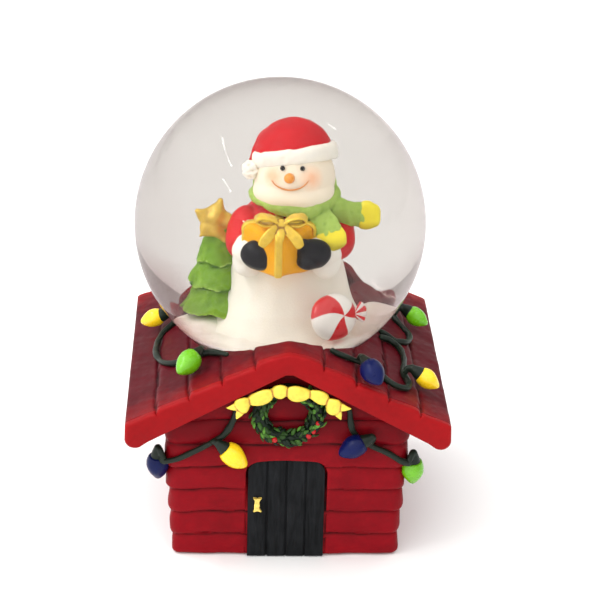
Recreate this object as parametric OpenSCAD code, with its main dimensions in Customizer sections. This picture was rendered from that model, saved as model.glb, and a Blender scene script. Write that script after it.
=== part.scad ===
// Snow globe: a water-filled glass sphere with a snowman, on a hollow house-shaped base
// that holds a wind-up musical movement.

/* [House] */
// Width of the roof across the eaves
roof_w = 108; // [106:1:110]
// Depth of the roof from the front fascia to the back fascia
roof_d = 104; // [103:1:106]
// Height of the ridge above the table
ridge_z = 82; // [81:0.5:83]
// Height of the eaves above the table
eave_z = 53.5; // [53:0.5:54]
// Width of the walls at the top
wall_w = 80.8; // [80:0.2:81.6]
// Height of the side walls
wall_h = 44.5; // [44:0.5:45]
// Number of siding courses on the walls
courses = 5; // [4:1:6]

/* [Door] */
// Width of the door
door_w = 26; // [24:1:28]
// Height of the door at the middle
door_h = 38.5; // [36:0.5:39]

/* [Globe] */
// Outer diameter of the glass sphere
globe_d = 100; // [99:0.5:100]
// Thickness of the glass
glass_t = 2.2; // [1.8:0.1:2.6]
// Height of the centre of the sphere
globe_z = 104.5; // [104:0.5:105]
// Sideways offset of the globe from the ridge line
globe_x = -2.5; // [-3:0.5:0]

/* [Movement] */
// Tooth size of every gear, as pitch diameter over teeth
gear_m = 0.5; // [0.5]
// Teeth on the crown wheel
crown_teeth = 36; // [36]
// Teeth on the cylinder's pinion
pinion_teeth = 12; // [12]
// Teeth on the cylinder's gear
gear_teeth = 36; // [36]
// Teeth on the governor's pinion
governor_teeth = 9; // [9]
// Teeth on the governor's worm wheel
worm_wheel_teeth = 12; // [12]

/* [Hidden] */
$fn = 48;

globe_y = 3;
globe_r = globe_d / 2;
inner_r = globe_r - glass_t;
gap = 0.3;

// walls
wall_d = roof_d - 15;
wall_t = 6.2;
corner_r = 4;
course_h = wall_h / courses;
course_lip = 0.5;
taper = 0.55;
cavity_w = wall_w - 2 * wall_t - 0.4;
cavity_d = wall_d - 2 * 4.5;
ceiling_z = 47.5;
well_z = 53;
well_r = 31.2;
well_top = 66;
boss_x = cavity_w / 2 - 3.4;
boss_y = cavity_d / 2 - 3.4;
boss_r = 5;

// roof
boards = 5;
board_step = 1;
half_w = roof_w / 2;
roof_slope = (ridge_z - eave_z) / half_w;
fascia_t = 2.5;
under_ridge = ridge_z - 8.1;
under_eave_x = half_w - 3.5;
under_eave_z = eave_z - 7.2;
under_slope = (under_ridge - under_eave_z) / under_eave_x;

// wreath
wreath_r = 9.6;
wreath_tube_r = 3.2;
wreath_z = 58.2;
ribbon_top_z = 69.8;
ribbon_y = -wall_d / 2 - 7.6;
// The berries sit on a small flat cut into the front of the wreath.
berry_seat_y = -wall_d / 2 - 5;
berry_places = [[8.2, 57.6], [9.4, 54.8], [7.2, 52.4]];

// globe, neck and stopper
neck_r = 30.4;
neck_bore = neck_r - glass_t;
neck_z = 57;
ground_z = 66;
ground_r = neck_bore - 0.3;
ground_edge_z = 71;
ground_top_z = 81.5;
ground_rise = ground_top_z - ground_edge_z;
ground_curve = (pow(ground_r, 2) + pow(ground_rise, 2)) / (2 * ground_rise);

// snowman
body_at = [-0.4, 3, 84.5];
body_r = 15.3;
coat_at = [0.4, 3, 100];
coat_r = 14.2;
head_at = [1.2, 0.5, 119];
head_r = 10.5;
head_tilt = -25;
pompom_at = [-12.6, -0.5, 2];
pompom_r = 2.2;
brim_h = 6.7;
sleeve_l = 9.5;
mitten_places = [[-10, -14.4, 102.2], [6.8, -15, 102.7]];
mitten_r = 4.4;
gift_at = [-2.2, -10.5, 97];
gift_side = 14.8;
gift_h = 13;
gift_turn = 43;
tree_at = [-18.8, 5, 78];
star_at = [-19.4, 4.6, 106.8];
candy_at = [11.5, -17.6, 83.4];
candy_r = 7;

// movement
cover_z = 11.5;
cover_t = 2.5;
plate_z = cover_z + cover_t;
plate_t = 2.4;
deck_z = plate_z + plate_t;
arbor_x = -8;
arbor_r = 1.6;
housing_r = 10.4;
housing_h = 9;
crown_z = deck_z + housing_h + 0.6;
crown_t = 1.6;
crown_r = crown_teeth * gear_m / 2;
pinion_r = pinion_teeth * gear_m / 2;
gear_r = gear_teeth * gear_m / 2;
governor_r = governor_teeth * gear_m / 2;
worm_wheel_r = worm_wheel_teeth * gear_m / 2;
axis_z = crown_z + crown_t + 1.2 * gear_m + pinion_r;
pinion_x = arbor_x + crown_r;
shaft_r = 1;
bracket_x = [pinion_x + 1.7, 26.6];
bracket_t = 1.6;
cylinder_x = 5;
cylinder_l = 17.5;
cylinder_r = 6.5;
tracks = 18;
track_gap = cylinder_l / (tracks + 1);
governor_y = gear_r + governor_r;
worm_x = 18.7;
worm_r = 1.5;
worm_lead = PI * gear_m;
worm_y = governor_y + worm_wheel_r + worm_r + 0.05;
worm_turns = 3;
fan_z = 39;
fan_h = 5;
pivot_r = 0.8;
running_gap = 0.05;
bridge_x = 13.4;
bridge_z = 36.2;
bridge_t = 1.2;
movement_screw_places = [[-22, 14], [22, 20], [-22, -20], [26, -20]];
comb_screw_places = [[8, -20], [19, -20]];

// The light string's routes. They run just clear of the front and of the roof boards.
front_left_route = [[-17.3, -46.1, 58], [-18.6, -46.1, 52.5], [-21.5, -46.1, 48.4], [-27, -46.1, 45],
    [-32.5, -46.1, 42.2], [-37.5, -46.1, 39.6], [-41, -46.1, 38]];
front_right_route = [[20.2, -46.1, 58], [23, -46.1, 52.4], [27, -46.1, 48.4], [31.5, -46.1, 44.4],
    [36.5, -46.1, 40.8], [41, -46.1, 38.2]];
roof_left_route = [[-36.5, 14, 66.4], [-40.5, 9, 63.6], [-44, 3, 61.8], [-45, -6, 61.3], [-43.5, -15, 62],
    [-40.6, -21, 63.5], [-37, -24, 65.4], [-32, -25.5, 68.1], [-27, -26.5, 70.7], [-24, -30, 72.3],
    [-20.5, -35, 74.2]];
roof_right_route = [[16, -38, 76.5], [20, -38.2, 74.4], [24, -36.6, 72.3], [28, -37.5, 70.2],
    [32, -40.5, 68.1], [36, -41.6, 66], [39.6, -39, 64.1], [40.4, -34, 63.6], [39.2, -26, 64.3],
    [40.4, -16, 63.7], [39, -9, 64.4], [36, -6.5, 66]];
roof_back_route = [[39.5, 25, 64.2], [40, 15, 63.9], [44, 7, 61.8], [43, 0, 62.3], [39, -3.5, 64.4],
    [36, -2.5, 66], [33.4, -2.4, 67.4]];
wire_r = 1;

// Every bulb: colour, centre, and the place its socket points to. The profile is drawn from the
// socket down to the tip.
bulb_profile = [[0, 3.2], [2, 3.2], [3.2, 2.1], [3.8, 0.4], [3.7, -1.2], [3, -3.2], [1.8, -4.9], [0.7, -5.9],
    [0, -6.1]];
socket_r = 2;
socket_l = 3.4;
bulbs = [
    ["yellow", [-18.3, -49.2, 42.4], [-23, -49.2, 46]],
    ["blue", [-44.9, -41, 36.5], [-44.6, -42, 43]],
    ["blue", [20.8, -49.2, 46.6], [26, -49.2, 49]],
    ["green", [44.9, -41, 34], [44.6, -42, 40.5]],
    ["yellow", [-46.6, 13, 63.4], [-42.5, 12.6, 65.2]],
    ["green", [-33, -37, 70.9], [-28.6, -31, 73.4]],
    ["blue", [27, -46, 74.4], [24.5, -41.5, 75.9]],
    ["yellow", [47.6, -31.4, 62.9], [43.4, -30.4, 65]],
    ["green", [47.4, 16.6, 63], [42.6, 19, 65.5]]];

/* Shared shapes */

function line_z(x) = ridge_z - roof_slope * x;

function arc(centre, r, from, to, steps) =
    [for (i = [0:steps]) let (a = from + (to - from) * i / steps) centre + r * [cos(a), sin(a)]];

function rounded_outline(w, d, r) = concat(
    arc([w / 2 - r, d / 2 - r], r, 0, 90, 4),
    arc([r - w / 2, d / 2 - r], r, 90, 180, 4),
    arc([r - w / 2, r - d / 2], r, 180, 270, 4),
    arc([w / 2 - r, r - d / 2], r, 270, 360, 4));

module rounded_block(w, d, r, h) {
    linear_extrude(h) polygon(rounded_outline(w, d, r));
}

// Extrudes an outline drawn in X and Z along Y, from y0 to y1.
module along_y(y0, y1) {
    translate([0, y1, 0]) rotate([90, 0, 0]) linear_extrude(y1 - y0) children();
}

module at_globe() {
    translate([globe_x, globe_y, 0]) children();
}

// Points the local Z axis from one point towards another.
module aimed(from, to) {
    d = to - from;
    translate(from) rotate([0, atan2(norm([d[0], d[1]]), d[2]), atan2(d[1], d[0])]) children();
}

// A round tube swept along a route of points, as one closed polyhedron.
module tube(route, r, sides = 8) {
    last = len(route) - 1;
    rings = [for (i = [0:last])
        let (ahead = route[min(i + 1, last)] - route[max(i - 1, 0)],
             t = ahead / norm(ahead),
             s = cross(t, [0, 0, 1]) / norm(cross(t, [0, 0, 1])),
             u = cross(s, t))
        for (k = [0:sides - 1]) route[i] + r * (cos(360 * k / sides) * s + sin(360 * k / sides) * u)];
    walls = [for (i = [0:last - 1], k = [0:sides - 1])
        let (a = i * sides, n = (k + 1) % sides)
        each [[a + k, a + n, a + sides + n], [a + k, a + sides + n, a + sides + k]]];
    first_cap = [[for (k = [sides - 1:-1:0]) k]];
    last_cap = [[for (k = [0:sides - 1]) last * sides + k]];
    polyhedron(rings, concat(walls, first_cap, last_cap));
}

// A gear outline with stub teeth. One tooth points along local X.
module gear_outline(teeth, r) {
    step = 360 / teeth;
    polygon([for (i = [0:teeth - 1]) each [
        (r - 1.1 * gear_m) * [cos(step * (i - 0.3)), sin(step * (i - 0.3))],
        (r + 0.7 * gear_m) * [cos(step * (i - 0.09)), sin(step * (i - 0.09))],
        (r + 0.7 * gear_m) * [cos(step * (i + 0.09)), sin(step * (i + 0.09))],
        (r - 1.1 * gear_m) * [cos(step * (i + 0.3)), sin(step * (i + 0.3))]]]);
}

// Turns a shape that stands along Z so that it lies along X.
module along_x(x, y, z) {
    translate([x, y, z]) rotate([90, 0, 90]) children();
}

/* House */

module course(i) {
    w = wall_w - 2 * taper * (courses - 1 - i);
    d = wall_d - 2 * taper * (courses - 1 - i) / 2;
    translate([0, 0, i * course_h]) {
        rounded_block(w, d, corner_r, course_h);
        rounded_block(w + 2 * course_lip, d + 2 * course_lip, corner_r, course_h / 3);
    }
}

function door_outline(w, h) = concat(
    [[-w / 2, 0], [w / 2, 0]],
    arc([w / 2 - 4, h - 5.5], 4, 0, 60, 3),
    arc([0, h - 30], 30, 72, 108, 6),
    arc([4 - w / 2, h - 5.5], 4, 120, 180, 3));

module globe_socket() {
    at_globe() {
        translate([0, 0, globe_z]) sphere(globe_r + gap);
        translate([0, 0, well_z]) cylinder(h = well_top - well_z, r = well_r);
    }
}

module corners() {
    for (x = [-boss_x, boss_x], y = [-boss_y, boss_y]) translate([x, y, 0]) children();
}

module house_walls() {
    color("brown") difference() {
        union() {
            for (i = [0:courses - 1]) course(i);
            along_y(-wall_d / 2, wall_d / 2) polygon([
                [-wall_w / 2, wall_h], [wall_w / 2, wall_h],
                [wall_w / 2, under_ridge - under_slope * wall_w / 2], [0, under_ridge],
                [-wall_w / 2, under_ridge - under_slope * wall_w / 2]]);
        }
        difference() {
            translate([0, 0, -1]) rounded_block(cavity_w, cavity_d, 4, ceiling_z + 1);
            corners() translate([0, 0, plate_z]) cylinder(h = ceiling_z, r = boss_r);
        }
        corners() translate([0, 0, plate_z - 1]) cylinder(h = 12, r = 1.45);
        globe_socket();
        along_y(-wall_d, 1.3 - wall_d / 2) polygon(concat([[-13.8, -1], [13.8, -1]],
            [for (p = door_outline(door_w + 1.6, door_h + 0.8)) if (p[1] > 1) p]));
    }
}

function roof_side() = [for (i = [0:boards - 1]) each [
    [half_w * i / boards + 0.01, line_z(half_w * i / boards)],
    [half_w * (i + 1) / boards, line_z(half_w * (i + 1) / boards) + board_step]]];

module roof_outline() {
    side = roof_side();
    under = [[half_w, eave_z - 1.5], [half_w - 1.2, under_eave_z + 1.2], [under_eave_x, under_eave_z]];
    polygon(concat(
        [for (p = side) p], under, [[0, under_ridge]],
        [for (i = [2:-1:0]) [-under[i][0], under[i][1]]],
        [for (i = [len(side) - 1:-1:0]) [-side[i][0], side[i][1]]]));
}

module roof() {
    color("maroon") difference() {
        along_y(fascia_t - roof_d / 2, roof_d / 2 - fascia_t) roof_outline();
        globe_socket();
    }
}

module fascia_boards() {
    color("red") difference() {
        for (y = [-roof_d / 2, roof_d / 2 - fascia_t]) along_y(y, y + fascia_t) roof_outline();
        globe_socket();
    }
}

module door() {
    color("darkslategray") difference() {
        along_y(-wall_d / 2 - 0.6, 1.3 - wall_d / 2) polygon(door_outline(door_w, door_h));
        for (x = [-door_w / 5, 0, door_w / 5])
            translate([x - 0.3, -wall_d / 2 - 1, 1]) cube([0.6, 0.9, door_h - 3]);
    }
}

module door_handle() {
    color("goldenrod") translate([-9.7, -wall_d / 2 - 0.6, 21.5]) {
        for (z = [-1.7, 1.7]) translate([0, -1.4, z]) sphere(1.3);
        translate([0, -1.4, -1.7]) cylinder(h = 3.4, r = 0.8);
        rotate([90, 0, 0]) cylinder(h = 1.4, r = 0.6);
    }
}

module wreath_ring() {
    translate([0, -wall_d / 2 - 2.7, wreath_z]) rotate([90, 0, 0]) rotate_extrude()
        translate([wreath_r, 0]) circle(wreath_tube_r);
}

module wreath() {
    color("forestgreen") difference() {
        wreath_ring();
        translate([-20, -wall_d / 2, 30]) cube([40, 10, 50]);
        translate([5, berry_seat_y - 5, wreath_z - 8]) cube([10, 5, 9]);
    }
}

module wreath_berries() {
    color("red") for (p = berry_places)
        translate([p[0], berry_seat_y, p[1]]) rotate([90, 0, 0]) cylinder(h = 1.6, r = 1.3);
}

// The ribbon hangs in front of the gable, under the fascia, with swallow-tail ends.
module wreath_ribbon() {
    rise = 9;
    chord = 18.6;
    r = (pow(chord, 2) + pow(rise, 2)) / (2 * rise);
    half_angle = asin(chord / r);
    centre = [0, ribbon_top_z - r];
    band = 4.8;
    notch = r - band / 2 - 1.2;
    color("gold") along_y(ribbon_y, ribbon_y + 1.5) polygon(concat(
        arc(centre, r, 90 - half_angle, 90 + half_angle, 16),
        [centre + notch * [cos(87.5 + half_angle), sin(87.5 + half_angle)]],
        arc(centre, r - band, 90 + half_angle, 90 - half_angle, 16),
        [centre + notch * [cos(92.5 - half_angle), sin(92.5 - half_angle)]]));
}

/* Light string */

module front_light_wires() {
    color("darkgreen") {
        tube(front_left_route, wire_r);
        tube(front_right_route, wire_r);
    }
}

module roof_light_wires() {
    color("darkgreen") {
        tube(roof_left_route, wire_r);
        tube(roof_right_route, wire_r);
        tube(roof_back_route, wire_r);
    }
}

module bulb_sockets() {
    color("darkgreen") for (b = bulbs) aimed(b[1], b[2])
        translate([0, 0, bulb_profile[0][1]]) cylinder(h = socket_l, r = socket_r);
}

module bulbs_of(colour) {
    for (b = bulbs) if (b[0] == colour) aimed(b[1], b[2]) rotate_extrude() polygon(bulb_profile);
}

module yellow_bulbs() {
    color("gold") bulbs_of("yellow");
}

module green_bulbs() {
    color("green") bulbs_of("green");
}

module blue_bulbs() {
    color("navy") bulbs_of("blue");
}

/* Bottom */

module bottom_cover() {
    color("dimgray") difference() {
        translate([0, 0, cover_z]) rounded_block(cavity_w - 0.6, cavity_d - 0.6, 3.7, cover_t);
        corners() translate([0, 0, cover_z - 1]) cylinder(h = cover_t + 2, r = 1.7);
        translate([arbor_x, 0, cover_z - 1]) cylinder(h = cover_t + 2, r = 4);
        for (p = movement_screw_places)
            translate([p[0], p[1], cover_z - 1]) cylinder(h = cover_t + 2, r = 1.3);
    }
}

module pan_screw(r, l) {
    mirror([0, 0, 1]) cylinder(h = 1.5, r = 1.9 * r);
    cylinder(h = l, r = r);
}

module cover_screws() {
    color("silver") corners() translate([0, 0, cover_z]) pan_screw(1.4, 12);
}

/* Globe */

module glass_globe() {
    color("lightcyan", 0.3) at_globe() difference() {
        union() {
            translate([0, 0, globe_z]) sphere(globe_r);
            translate([0, 0, neck_z]) cylinder(h = 12, r = neck_r);
            translate([0, 0, neck_z]) cylinder(h = 2, r = neck_r + 0.5);
        }
        translate([0, 0, globe_z]) sphere(inner_r);
        translate([0, 0, neck_z - 5]) cylinder(h = 18, r = neck_bore);
    }
}

module globe_stopper() {
    color("dimgray") at_globe() {
        translate([0, 0, neck_z - 2.5]) cylinder(h = 2.5, r = neck_r + 0.5);
        translate([0, 0, neck_z]) cylinder(h = ground_z - neck_z, r = neck_bore - 0.2);
    }
}

module ground_shape() {
    at_globe() intersection() {
        translate([0, 0, ground_z]) cylinder(h = 30, r = ground_r);
        translate([0, 0, ground_top_z - ground_curve]) sphere(ground_curve);
    }
}

module snow_ground() {
    color("ivory") ground_shape();
}

// The flakes lie settled in the groove between the snow ground and the glass.
module loose_snow() {
    r = ground_r + 0.15;
    color("white") at_globe() rotate_extrude() polygon([
        [r, ground_z + 0.9], [r + 0.9, ground_z + 0.9], [r + 2.9, ground_z + 2.8], [r, ground_z + 3.6]]);
}

// The water has plain pockets round the figure and the snow.
module water() {
    color("azure", 0.2) difference() {
        at_globe() translate([0, 0, globe_z]) sphere(inner_r - 0.05);
        at_globe() translate([0, 0, 50]) cylinder(h = ground_edge_z + 0.4 - 50, r = ground_r + 5);
        at_globe() translate([0, 0, ground_top_z - ground_curve]) sphere(ground_curve + 0.2);
        translate([0, -2, 70]) cylinder(h = 46, r = 21.8);
        translate([1, 3, 105]) cylinder(h = 35, r = 16);
        translate([-19.2, 4.8, 70]) cylinder(h = 44, r = 9);
        translate([11.5, -17.6, 70]) cylinder(h = 24, r = 13.5);
        translate([10, -4, 98]) cube([17, 12, 16]);
    }
}

/* Snowman */

module body_ball() {
    translate(body_at) sphere(body_r);
}

module coat_ball(grow = 0) {
    translate(coat_at) sphere(coat_r + grow);
}

module gift_block(grow = 0) {
    translate(gift_at) rotate([0, 0, gift_turn])
        translate([-gift_side / 2 - grow, -gift_side / 2 - grow, -grow])
            cube([gift_side + 2 * grow, gift_side + 2 * grow, gift_h + 2 * grow]);
}

module in_head() {
    translate(head_at) rotate([head_tilt, 0, 0]) children();
}

module head_ball() {
    translate(head_at) sphere(head_r);
}

module scarf_ring() {
    translate([1, 1, 112.8]) rotate([-12, 0, 0]) rotate_extrude() translate([8.3, 0]) circle(3.1);
}

module sleeve_shapes(grow = 0) {
    for (side = [-1, 1]) {
        translate([12.2 * side, 1, 104]) sphere(4.2 + grow);
        aimed([12.2 * side, 1, 104], [10.8 * side, -8.5, 101]) cylinder(h = sleeve_l + grow, r = 4.2 + grow);
    }
}

module cuff_shapes(grow = 0) {
    for (side = [-1, 1]) aimed([12.2 * side, 1, 104], [10.8 * side, -8.5, 101])
        translate([0, 0, sleeve_l - grow]) cylinder(h = 2.4 + 2 * grow, r = 4.6 + grow);
}

module mitten_shapes(grow = 0) {
    for (p = mitten_places) translate(p) rotate([70, 20, 0]) sphere(mitten_r + grow);
}

// Everything that the scarf ends and the gift's ribbon lie against, with a little air.
module figure_front(grow = 0.05) {
    coat_ball(grow);
    sleeve_shapes(grow);
    cuff_shapes(grow);
    mitten_shapes(grow);
    gift_block(grow);
}

module snowman_body() {
    color("ivory") difference() {
        body_ball();
        ground_shape();
        gift_block();
    }
}

module snowman_coat() {
    color("red") difference() {
        coat_ball();
        body_ball();
        gift_block();
    }
}

module coat_sleeves() {
    color("red") difference() {
        sleeve_shapes();
        coat_ball();
        gift_block();
    }
}

module coat_cuffs() {
    color("ivory") difference() {
        cuff_shapes();
        coat_ball();
        gift_block();
    }
}

module mittens() {
    color("black") difference() {
        mitten_shapes();
        cuff_shapes();
        gift_block();
    }
}

module scarf_tail_frame(i) {
    from = i == 0 ? [10.3, 1, 111.6] : [7.4, -5.5, 111.2];
    to = i == 0 ? [22.5, 1, 107.6] : [11.5, -10.5, 102.5];
    aimed(from, to) children();
}

module scarf_tails(from, l) {
    for (i = [0, 1]) scarf_tail_frame(i) translate([-0.9, -2.5, from]) cube([1.8, 5, l]);
}

module scarf() {
    color("green") difference() {
        union() {
            scarf_ring();
            scarf_tails(0, 9);
        }
        figure_front();
    }
}

module scarf_fringe() {
    color("gold") difference() {
        scarf_tails(9, 3.6);
        figure_front();
    }
}

module snowman_head() {
    color("ivory") difference() {
        head_ball();
        scarf_ring();
        coat_ball();
    }
}

// Places a child on the face, x to the side and h up from its middle.
module on_face(x, h, out = 0) {
    reach = sqrt(pow(head_r, 2) - pow(x, 2) - pow(h, 2)) + out;
    in_head() translate([x, -reach, h]) children();
}

module eyes() {
    color("black") difference() {
        for (x = [-3.6, 1.6]) on_face(x, 2.5) sphere(1.2);
        head_ball();
    }
}

module nose() {
    color("orange") difference() {
        on_face(-1.9, 0.1, 0.5) sphere(1.6);
        head_ball();
    }
}

module mouth() {
    color("sienna") difference() {
        translate(head_at) rotate([head_tilt - 13, 0, -4]) rotate([90, 0, 0]) translate([0, 0, 8.2])
            linear_extrude(1.2) polygon(concat(arc([0, 0], 6, 224, 316, 12), arc([0, 0], 5.2, 316, 224, 12)));
        head_ball($fn = 160);
    }
}

module cheeks() {
    color("lightsalmon") difference() {
        for (p = [[-6.2, 0.9], [4.2, -0.4]]) on_face(p[0], p[1], -0.9) sphere(1.7, $fn = 96);
        head_ball($fn = 160);
    }
}

module brim_ring() {
    in_head() translate([0, 0, brim_h]) rotate_extrude() translate([8.7, 0]) circle(2.1);
}

module crown_shape() {
    in_head() {
        intersection() {
            translate([0, 0, 5.6]) sphere(10);
            translate([0, 0, brim_h + 10]) cube(20, center = true);
        }
        aimed([-7, 0.5, 9.5], [-12.6, -0.5, 2]) cylinder(h = 7.5, r1 = 2.8, r2 = 1.3);
    }
}

module hat() {
    color("red") difference() {
        crown_shape();
        brim_ring();
        head_ball();
        in_head() translate(pompom_at) sphere(pompom_r);
    }
}

module hat_brim() {
    color("ivory") difference() {
        brim_ring();
        head_ball();
    }
}

module hat_pompom() {
    color("white") in_head() translate(pompom_at) sphere(pompom_r);
}

/* Gifts, tree and candy */

module gift_box() {
    color("goldenrod") gift_block();
}

module gift_ribbon() {
    color("gold") difference() {
        translate(gift_at) rotate([0, 0, gift_turn]) intersection() {
            translate([-gift_side / 2 - 0.5, -gift_side / 2 - 0.5, 0])
                cube([gift_side + 1, gift_side + 1, gift_h + 0.5]);
            union() {
                translate([-1.6, -20, 0]) cube([3.2, 40, 20]);
                translate([-20, -1.6, 0]) cube([40, 3.2, 20]);
            }
        }
        gift_block();
        figure_front();
        body_ball();
        scarf_ring();
        scarf_tails(0, 13);
    }
}

module gift_bow() {
    top = gift_at + [0, 0, gift_h + 0.5];
    color("gold") difference() {
        union() {
            for (side = [-1, 1]) translate(top + [3 * side, -2, 1.4]) rotate([80, 0, 20 * side])
                rotate_extrude() translate([1.9, 0]) circle(0.9);
            translate(top + [0, -2, 1]) sphere(1.5);
        }
        translate(gift_at) rotate([0, 0, gift_turn])
            translate([-gift_side / 2 - 1, -gift_side / 2 - 1, 0])
                cube([gift_side + 2, gift_side + 2, gift_h + 0.5]);
        coat_ball();
        scarf_ring();
        scarf_tails(0, 13);
    }
}

module star_shape() {
    translate(star_at) rotate([90 + head_tilt, 0, 0]) translate([0, 0, -1.5]) linear_extrude(3)
        polygon([for (i = [0:9]) (i % 2 == 0 ? 5.8 : 3.1) * [sin(36 * i), cos(36 * i)]]);
}

module tree() {
    tiers = [[0, 13, 8, 3.2], [8.5, 11, 6.6, 2.2], [16, 11, 5.2, 0.8]];
    color("green") difference() {
        translate(tree_at) for (t = tiers) translate([0, 0, t[0]]) cylinder(h = t[1], r1 = t[2], r2 = t[3]);
        body_ball();
        coat_ball();
        sleeve_shapes();
        ground_shape();
        star_shape();
    }
}

module tree_star() {
    color("gold") difference() {
        star_shape();
        sleeve_shapes();
    }
}

module in_candy() {
    translate(candy_at) rotate([-20, 0, 38]) rotate([90, 0, 0]) children();
}

module candy() {
    color("red") difference() {
        in_candy() translate([0, 0, -2.5]) cylinder(h = 5, r = candy_r);
        body_ball();
        ground_shape();
    }
}

module candy_wrapper() {
    color("mistyrose", 0.7) difference() {
        in_candy() rotate([0, 90, 0]) translate([0, 0, candy_r - 0.4]) cylinder(h = 4, r1 = 0.9, r2 = 2.6);
        in_candy() translate([0, 0, -2.5]) cylinder(h = 5, r = candy_r);
        body_ball();
        ground_shape();
    }
}

/* Musical movement */

module bedplate() {
    color("silver") difference() {
        union() {
            translate([2.5, -1, plate_z]) rounded_block(57, 50, 3, plate_t);
            translate([13.5, -20, deck_z]) rounded_block(20, 8, 1, axis_z - 1.5 - deck_z);
        }
        translate([arbor_x, 0, plate_z - 1]) cylinder(h = plate_t + 2, r = arbor_r + running_gap);
        translate([worm_x, worm_y, plate_z + 1]) cylinder(h = plate_t, r = pivot_r + running_gap);
        for (p = movement_screw_places)
            translate([p[0], p[1], plate_z - 1]) cylinder(h = plate_t + 2, r = 1.05);
        for (p = comb_screw_places) translate([p[0], p[1], axis_z - 10]) cylinder(h = 10, r = 1.05);
    }
}

module movement_screws() {
    color("silver") {
        for (p = movement_screw_places) translate([p[0], p[1], cover_z]) pan_screw(1, 5);
        for (p = comb_screw_places) translate([p[0], p[1], axis_z]) mirror([0, 0, 1]) pan_screw(1, 7);
    }
}

module cylinder_brackets() {
    color("silver") difference() {
        union() {
            translate([bracket_x[0], -4, deck_z]) cube([bracket_t, 8, axis_z + 3 - deck_z]);
            translate([bracket_x[1], -4, deck_z]) cube([bracket_t, governor_y + 7, axis_z + 3 - deck_z]);
        }
        along_x(0, 0, axis_z) cylinder(h = 40, r = shaft_r + running_gap);
        along_x(bracket_x[1] - 1, governor_y, axis_z) cylinder(h = 5, r = pivot_r + running_gap);
    }
}

module spring_housing() {
    color("silver") translate([arbor_x, 0, deck_z]) difference() {
        cylinder(h = housing_h, r = housing_r);
        translate([0, 0, -1]) cylinder(h = housing_h, r = housing_r - 0.8);
        cylinder(h = housing_h + 1, r = arbor_r + running_gap);
    }
}

// A flat steel strip wound from near the arbor out to the housing wall.
module mainspring() {
    turns = 4;
    per_turn = 16;
    strip = 0.5;
    inside = arbor_r + 1;
    pitch = (housing_r - 1.4 - inside) / turns;
    function spiral(r0) = [for (i = [0:turns * per_turn])
        (r0 + pitch * i / per_turn) * [cos(360 * i / per_turn), sin(360 * i / per_turn)]];
    outer = spiral(inside + strip);
    inner = spiral(inside);
    color("steelblue") translate([arbor_x, 0, deck_z + 0.6]) linear_extrude(housing_h - 2.2)
        polygon(concat(outer, [for (i = [len(inner) - 1:-1:0]) inner[i]]));
}

module comb() {
    tip_y = -cylinder_r - 1.15;
    tooth_l = 8;
    slot_w = 0.3;
    color("lightsteelblue") difference() {
        translate([cylinder_x, -24, axis_z - 1.5]) cube([cylinder_l, 24 + tip_y, 1.5]);
        for (i = [1:tracks])
            translate([cylinder_x + i * track_gap - slot_w / 2, tip_y - tooth_l, axis_z - 2])
                cube([slot_w, tooth_l + 1, 3]);
        for (p = comb_screw_places) translate([p[0], p[1], axis_z - 5]) cylinder(h = 10, r = 1.1);
    }
}

module governor_frame() {
    color("silver") difference() {
        union() {
            translate([bridge_x, governor_y - 2.6, deck_z])
                cube([bracket_t, 11.5, bridge_z + bridge_t - deck_z]);
            translate([bridge_x, worm_y - 2, bridge_z]) cube([worm_x - bridge_x + 2, 4, bridge_t]);
        }
        along_x(bridge_x - 1, governor_y, axis_z) cylinder(h = 5, r = pivot_r + running_gap);
        translate([worm_x, worm_y, bridge_z - 1]) cylinder(h = bridge_t + 2, r = pivot_r + running_gap);
    }
}

module winding_key() {
    color("silver") translate([arbor_x, 0, 2.2]) difference() {
        union() {
            cylinder(h = 8, r = 3.2);
            for (side = [-1, 1]) translate([side * 5.4, 0, 3.6]) rotate([90, 0, 0])
                translate([0, 0, -0.9]) cylinder(h = 1.8, r = 3.6);
        }
        translate([0, 0, -1]) cylinder(h = 10, r = arbor_r);
    }
}

module winding_arbor() {
    color("silver") translate([arbor_x, 0, 3]) cylinder(h = crown_z + crown_t + 0.5 - 3, r = arbor_r);
}

module crown_wheel() {
    step = 360 / crown_teeth;
    top = crown_z + crown_t;
    tooth = [[-0.34, -0.3], [0.34, -0.3], [0.3, 0], [0.13, 0.9], [-0.13, 0.9], [-0.3, 0]];
    color("goldenrod") translate([arbor_x, 0, 0]) difference() {
        union() {
            translate([0, 0, crown_z]) cylinder(h = crown_t, r = crown_r + 0.9);
            for (i = [0:crown_teeth - 1]) rotate([0, 0, step * (i + 0.5)])
                translate([crown_r - 0.8, 0, top]) rotate([90, 0, 90]) linear_extrude(1.6) polygon(tooth);
        }
        translate([0, 0, crown_z - 1]) cylinder(h = crown_t + 2, r = arbor_r);
    }
}

module pinned_cylinder() {
    color("goldenrod") difference() {
        union() {
            along_x(cylinder_x, 0, axis_z) cylinder(h = cylinder_l, r = cylinder_r);
            for (i = [1:tracks], k = [0:1]) along_x(cylinder_x + i * track_gap, 0, axis_z)
                rotate([0, 0, 67 * i + 150 * k + 31 * k * i]) rotate([0, 90, 0])
                    cylinder(h = cylinder_r + 0.9, r = 0.25, $fn = 16);
        }
        along_x(cylinder_x + 1, 0, axis_z) difference() {
            cylinder(h = cylinder_l - 2, r = cylinder_r - 0.7);
            translate([0, 0, -1]) cylinder(h = cylinder_l, r = shaft_r + 1);
        }
        along_x(cylinder_x - 1, 0, axis_z) cylinder(h = cylinder_l + 2, r = shaft_r);
    }
}

module cylinder_shaft() {
    color("silver") along_x(pinion_x - 1, 0, axis_z) cylinder(h = 29.4 - pinion_x, r = shaft_r);
}

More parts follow.
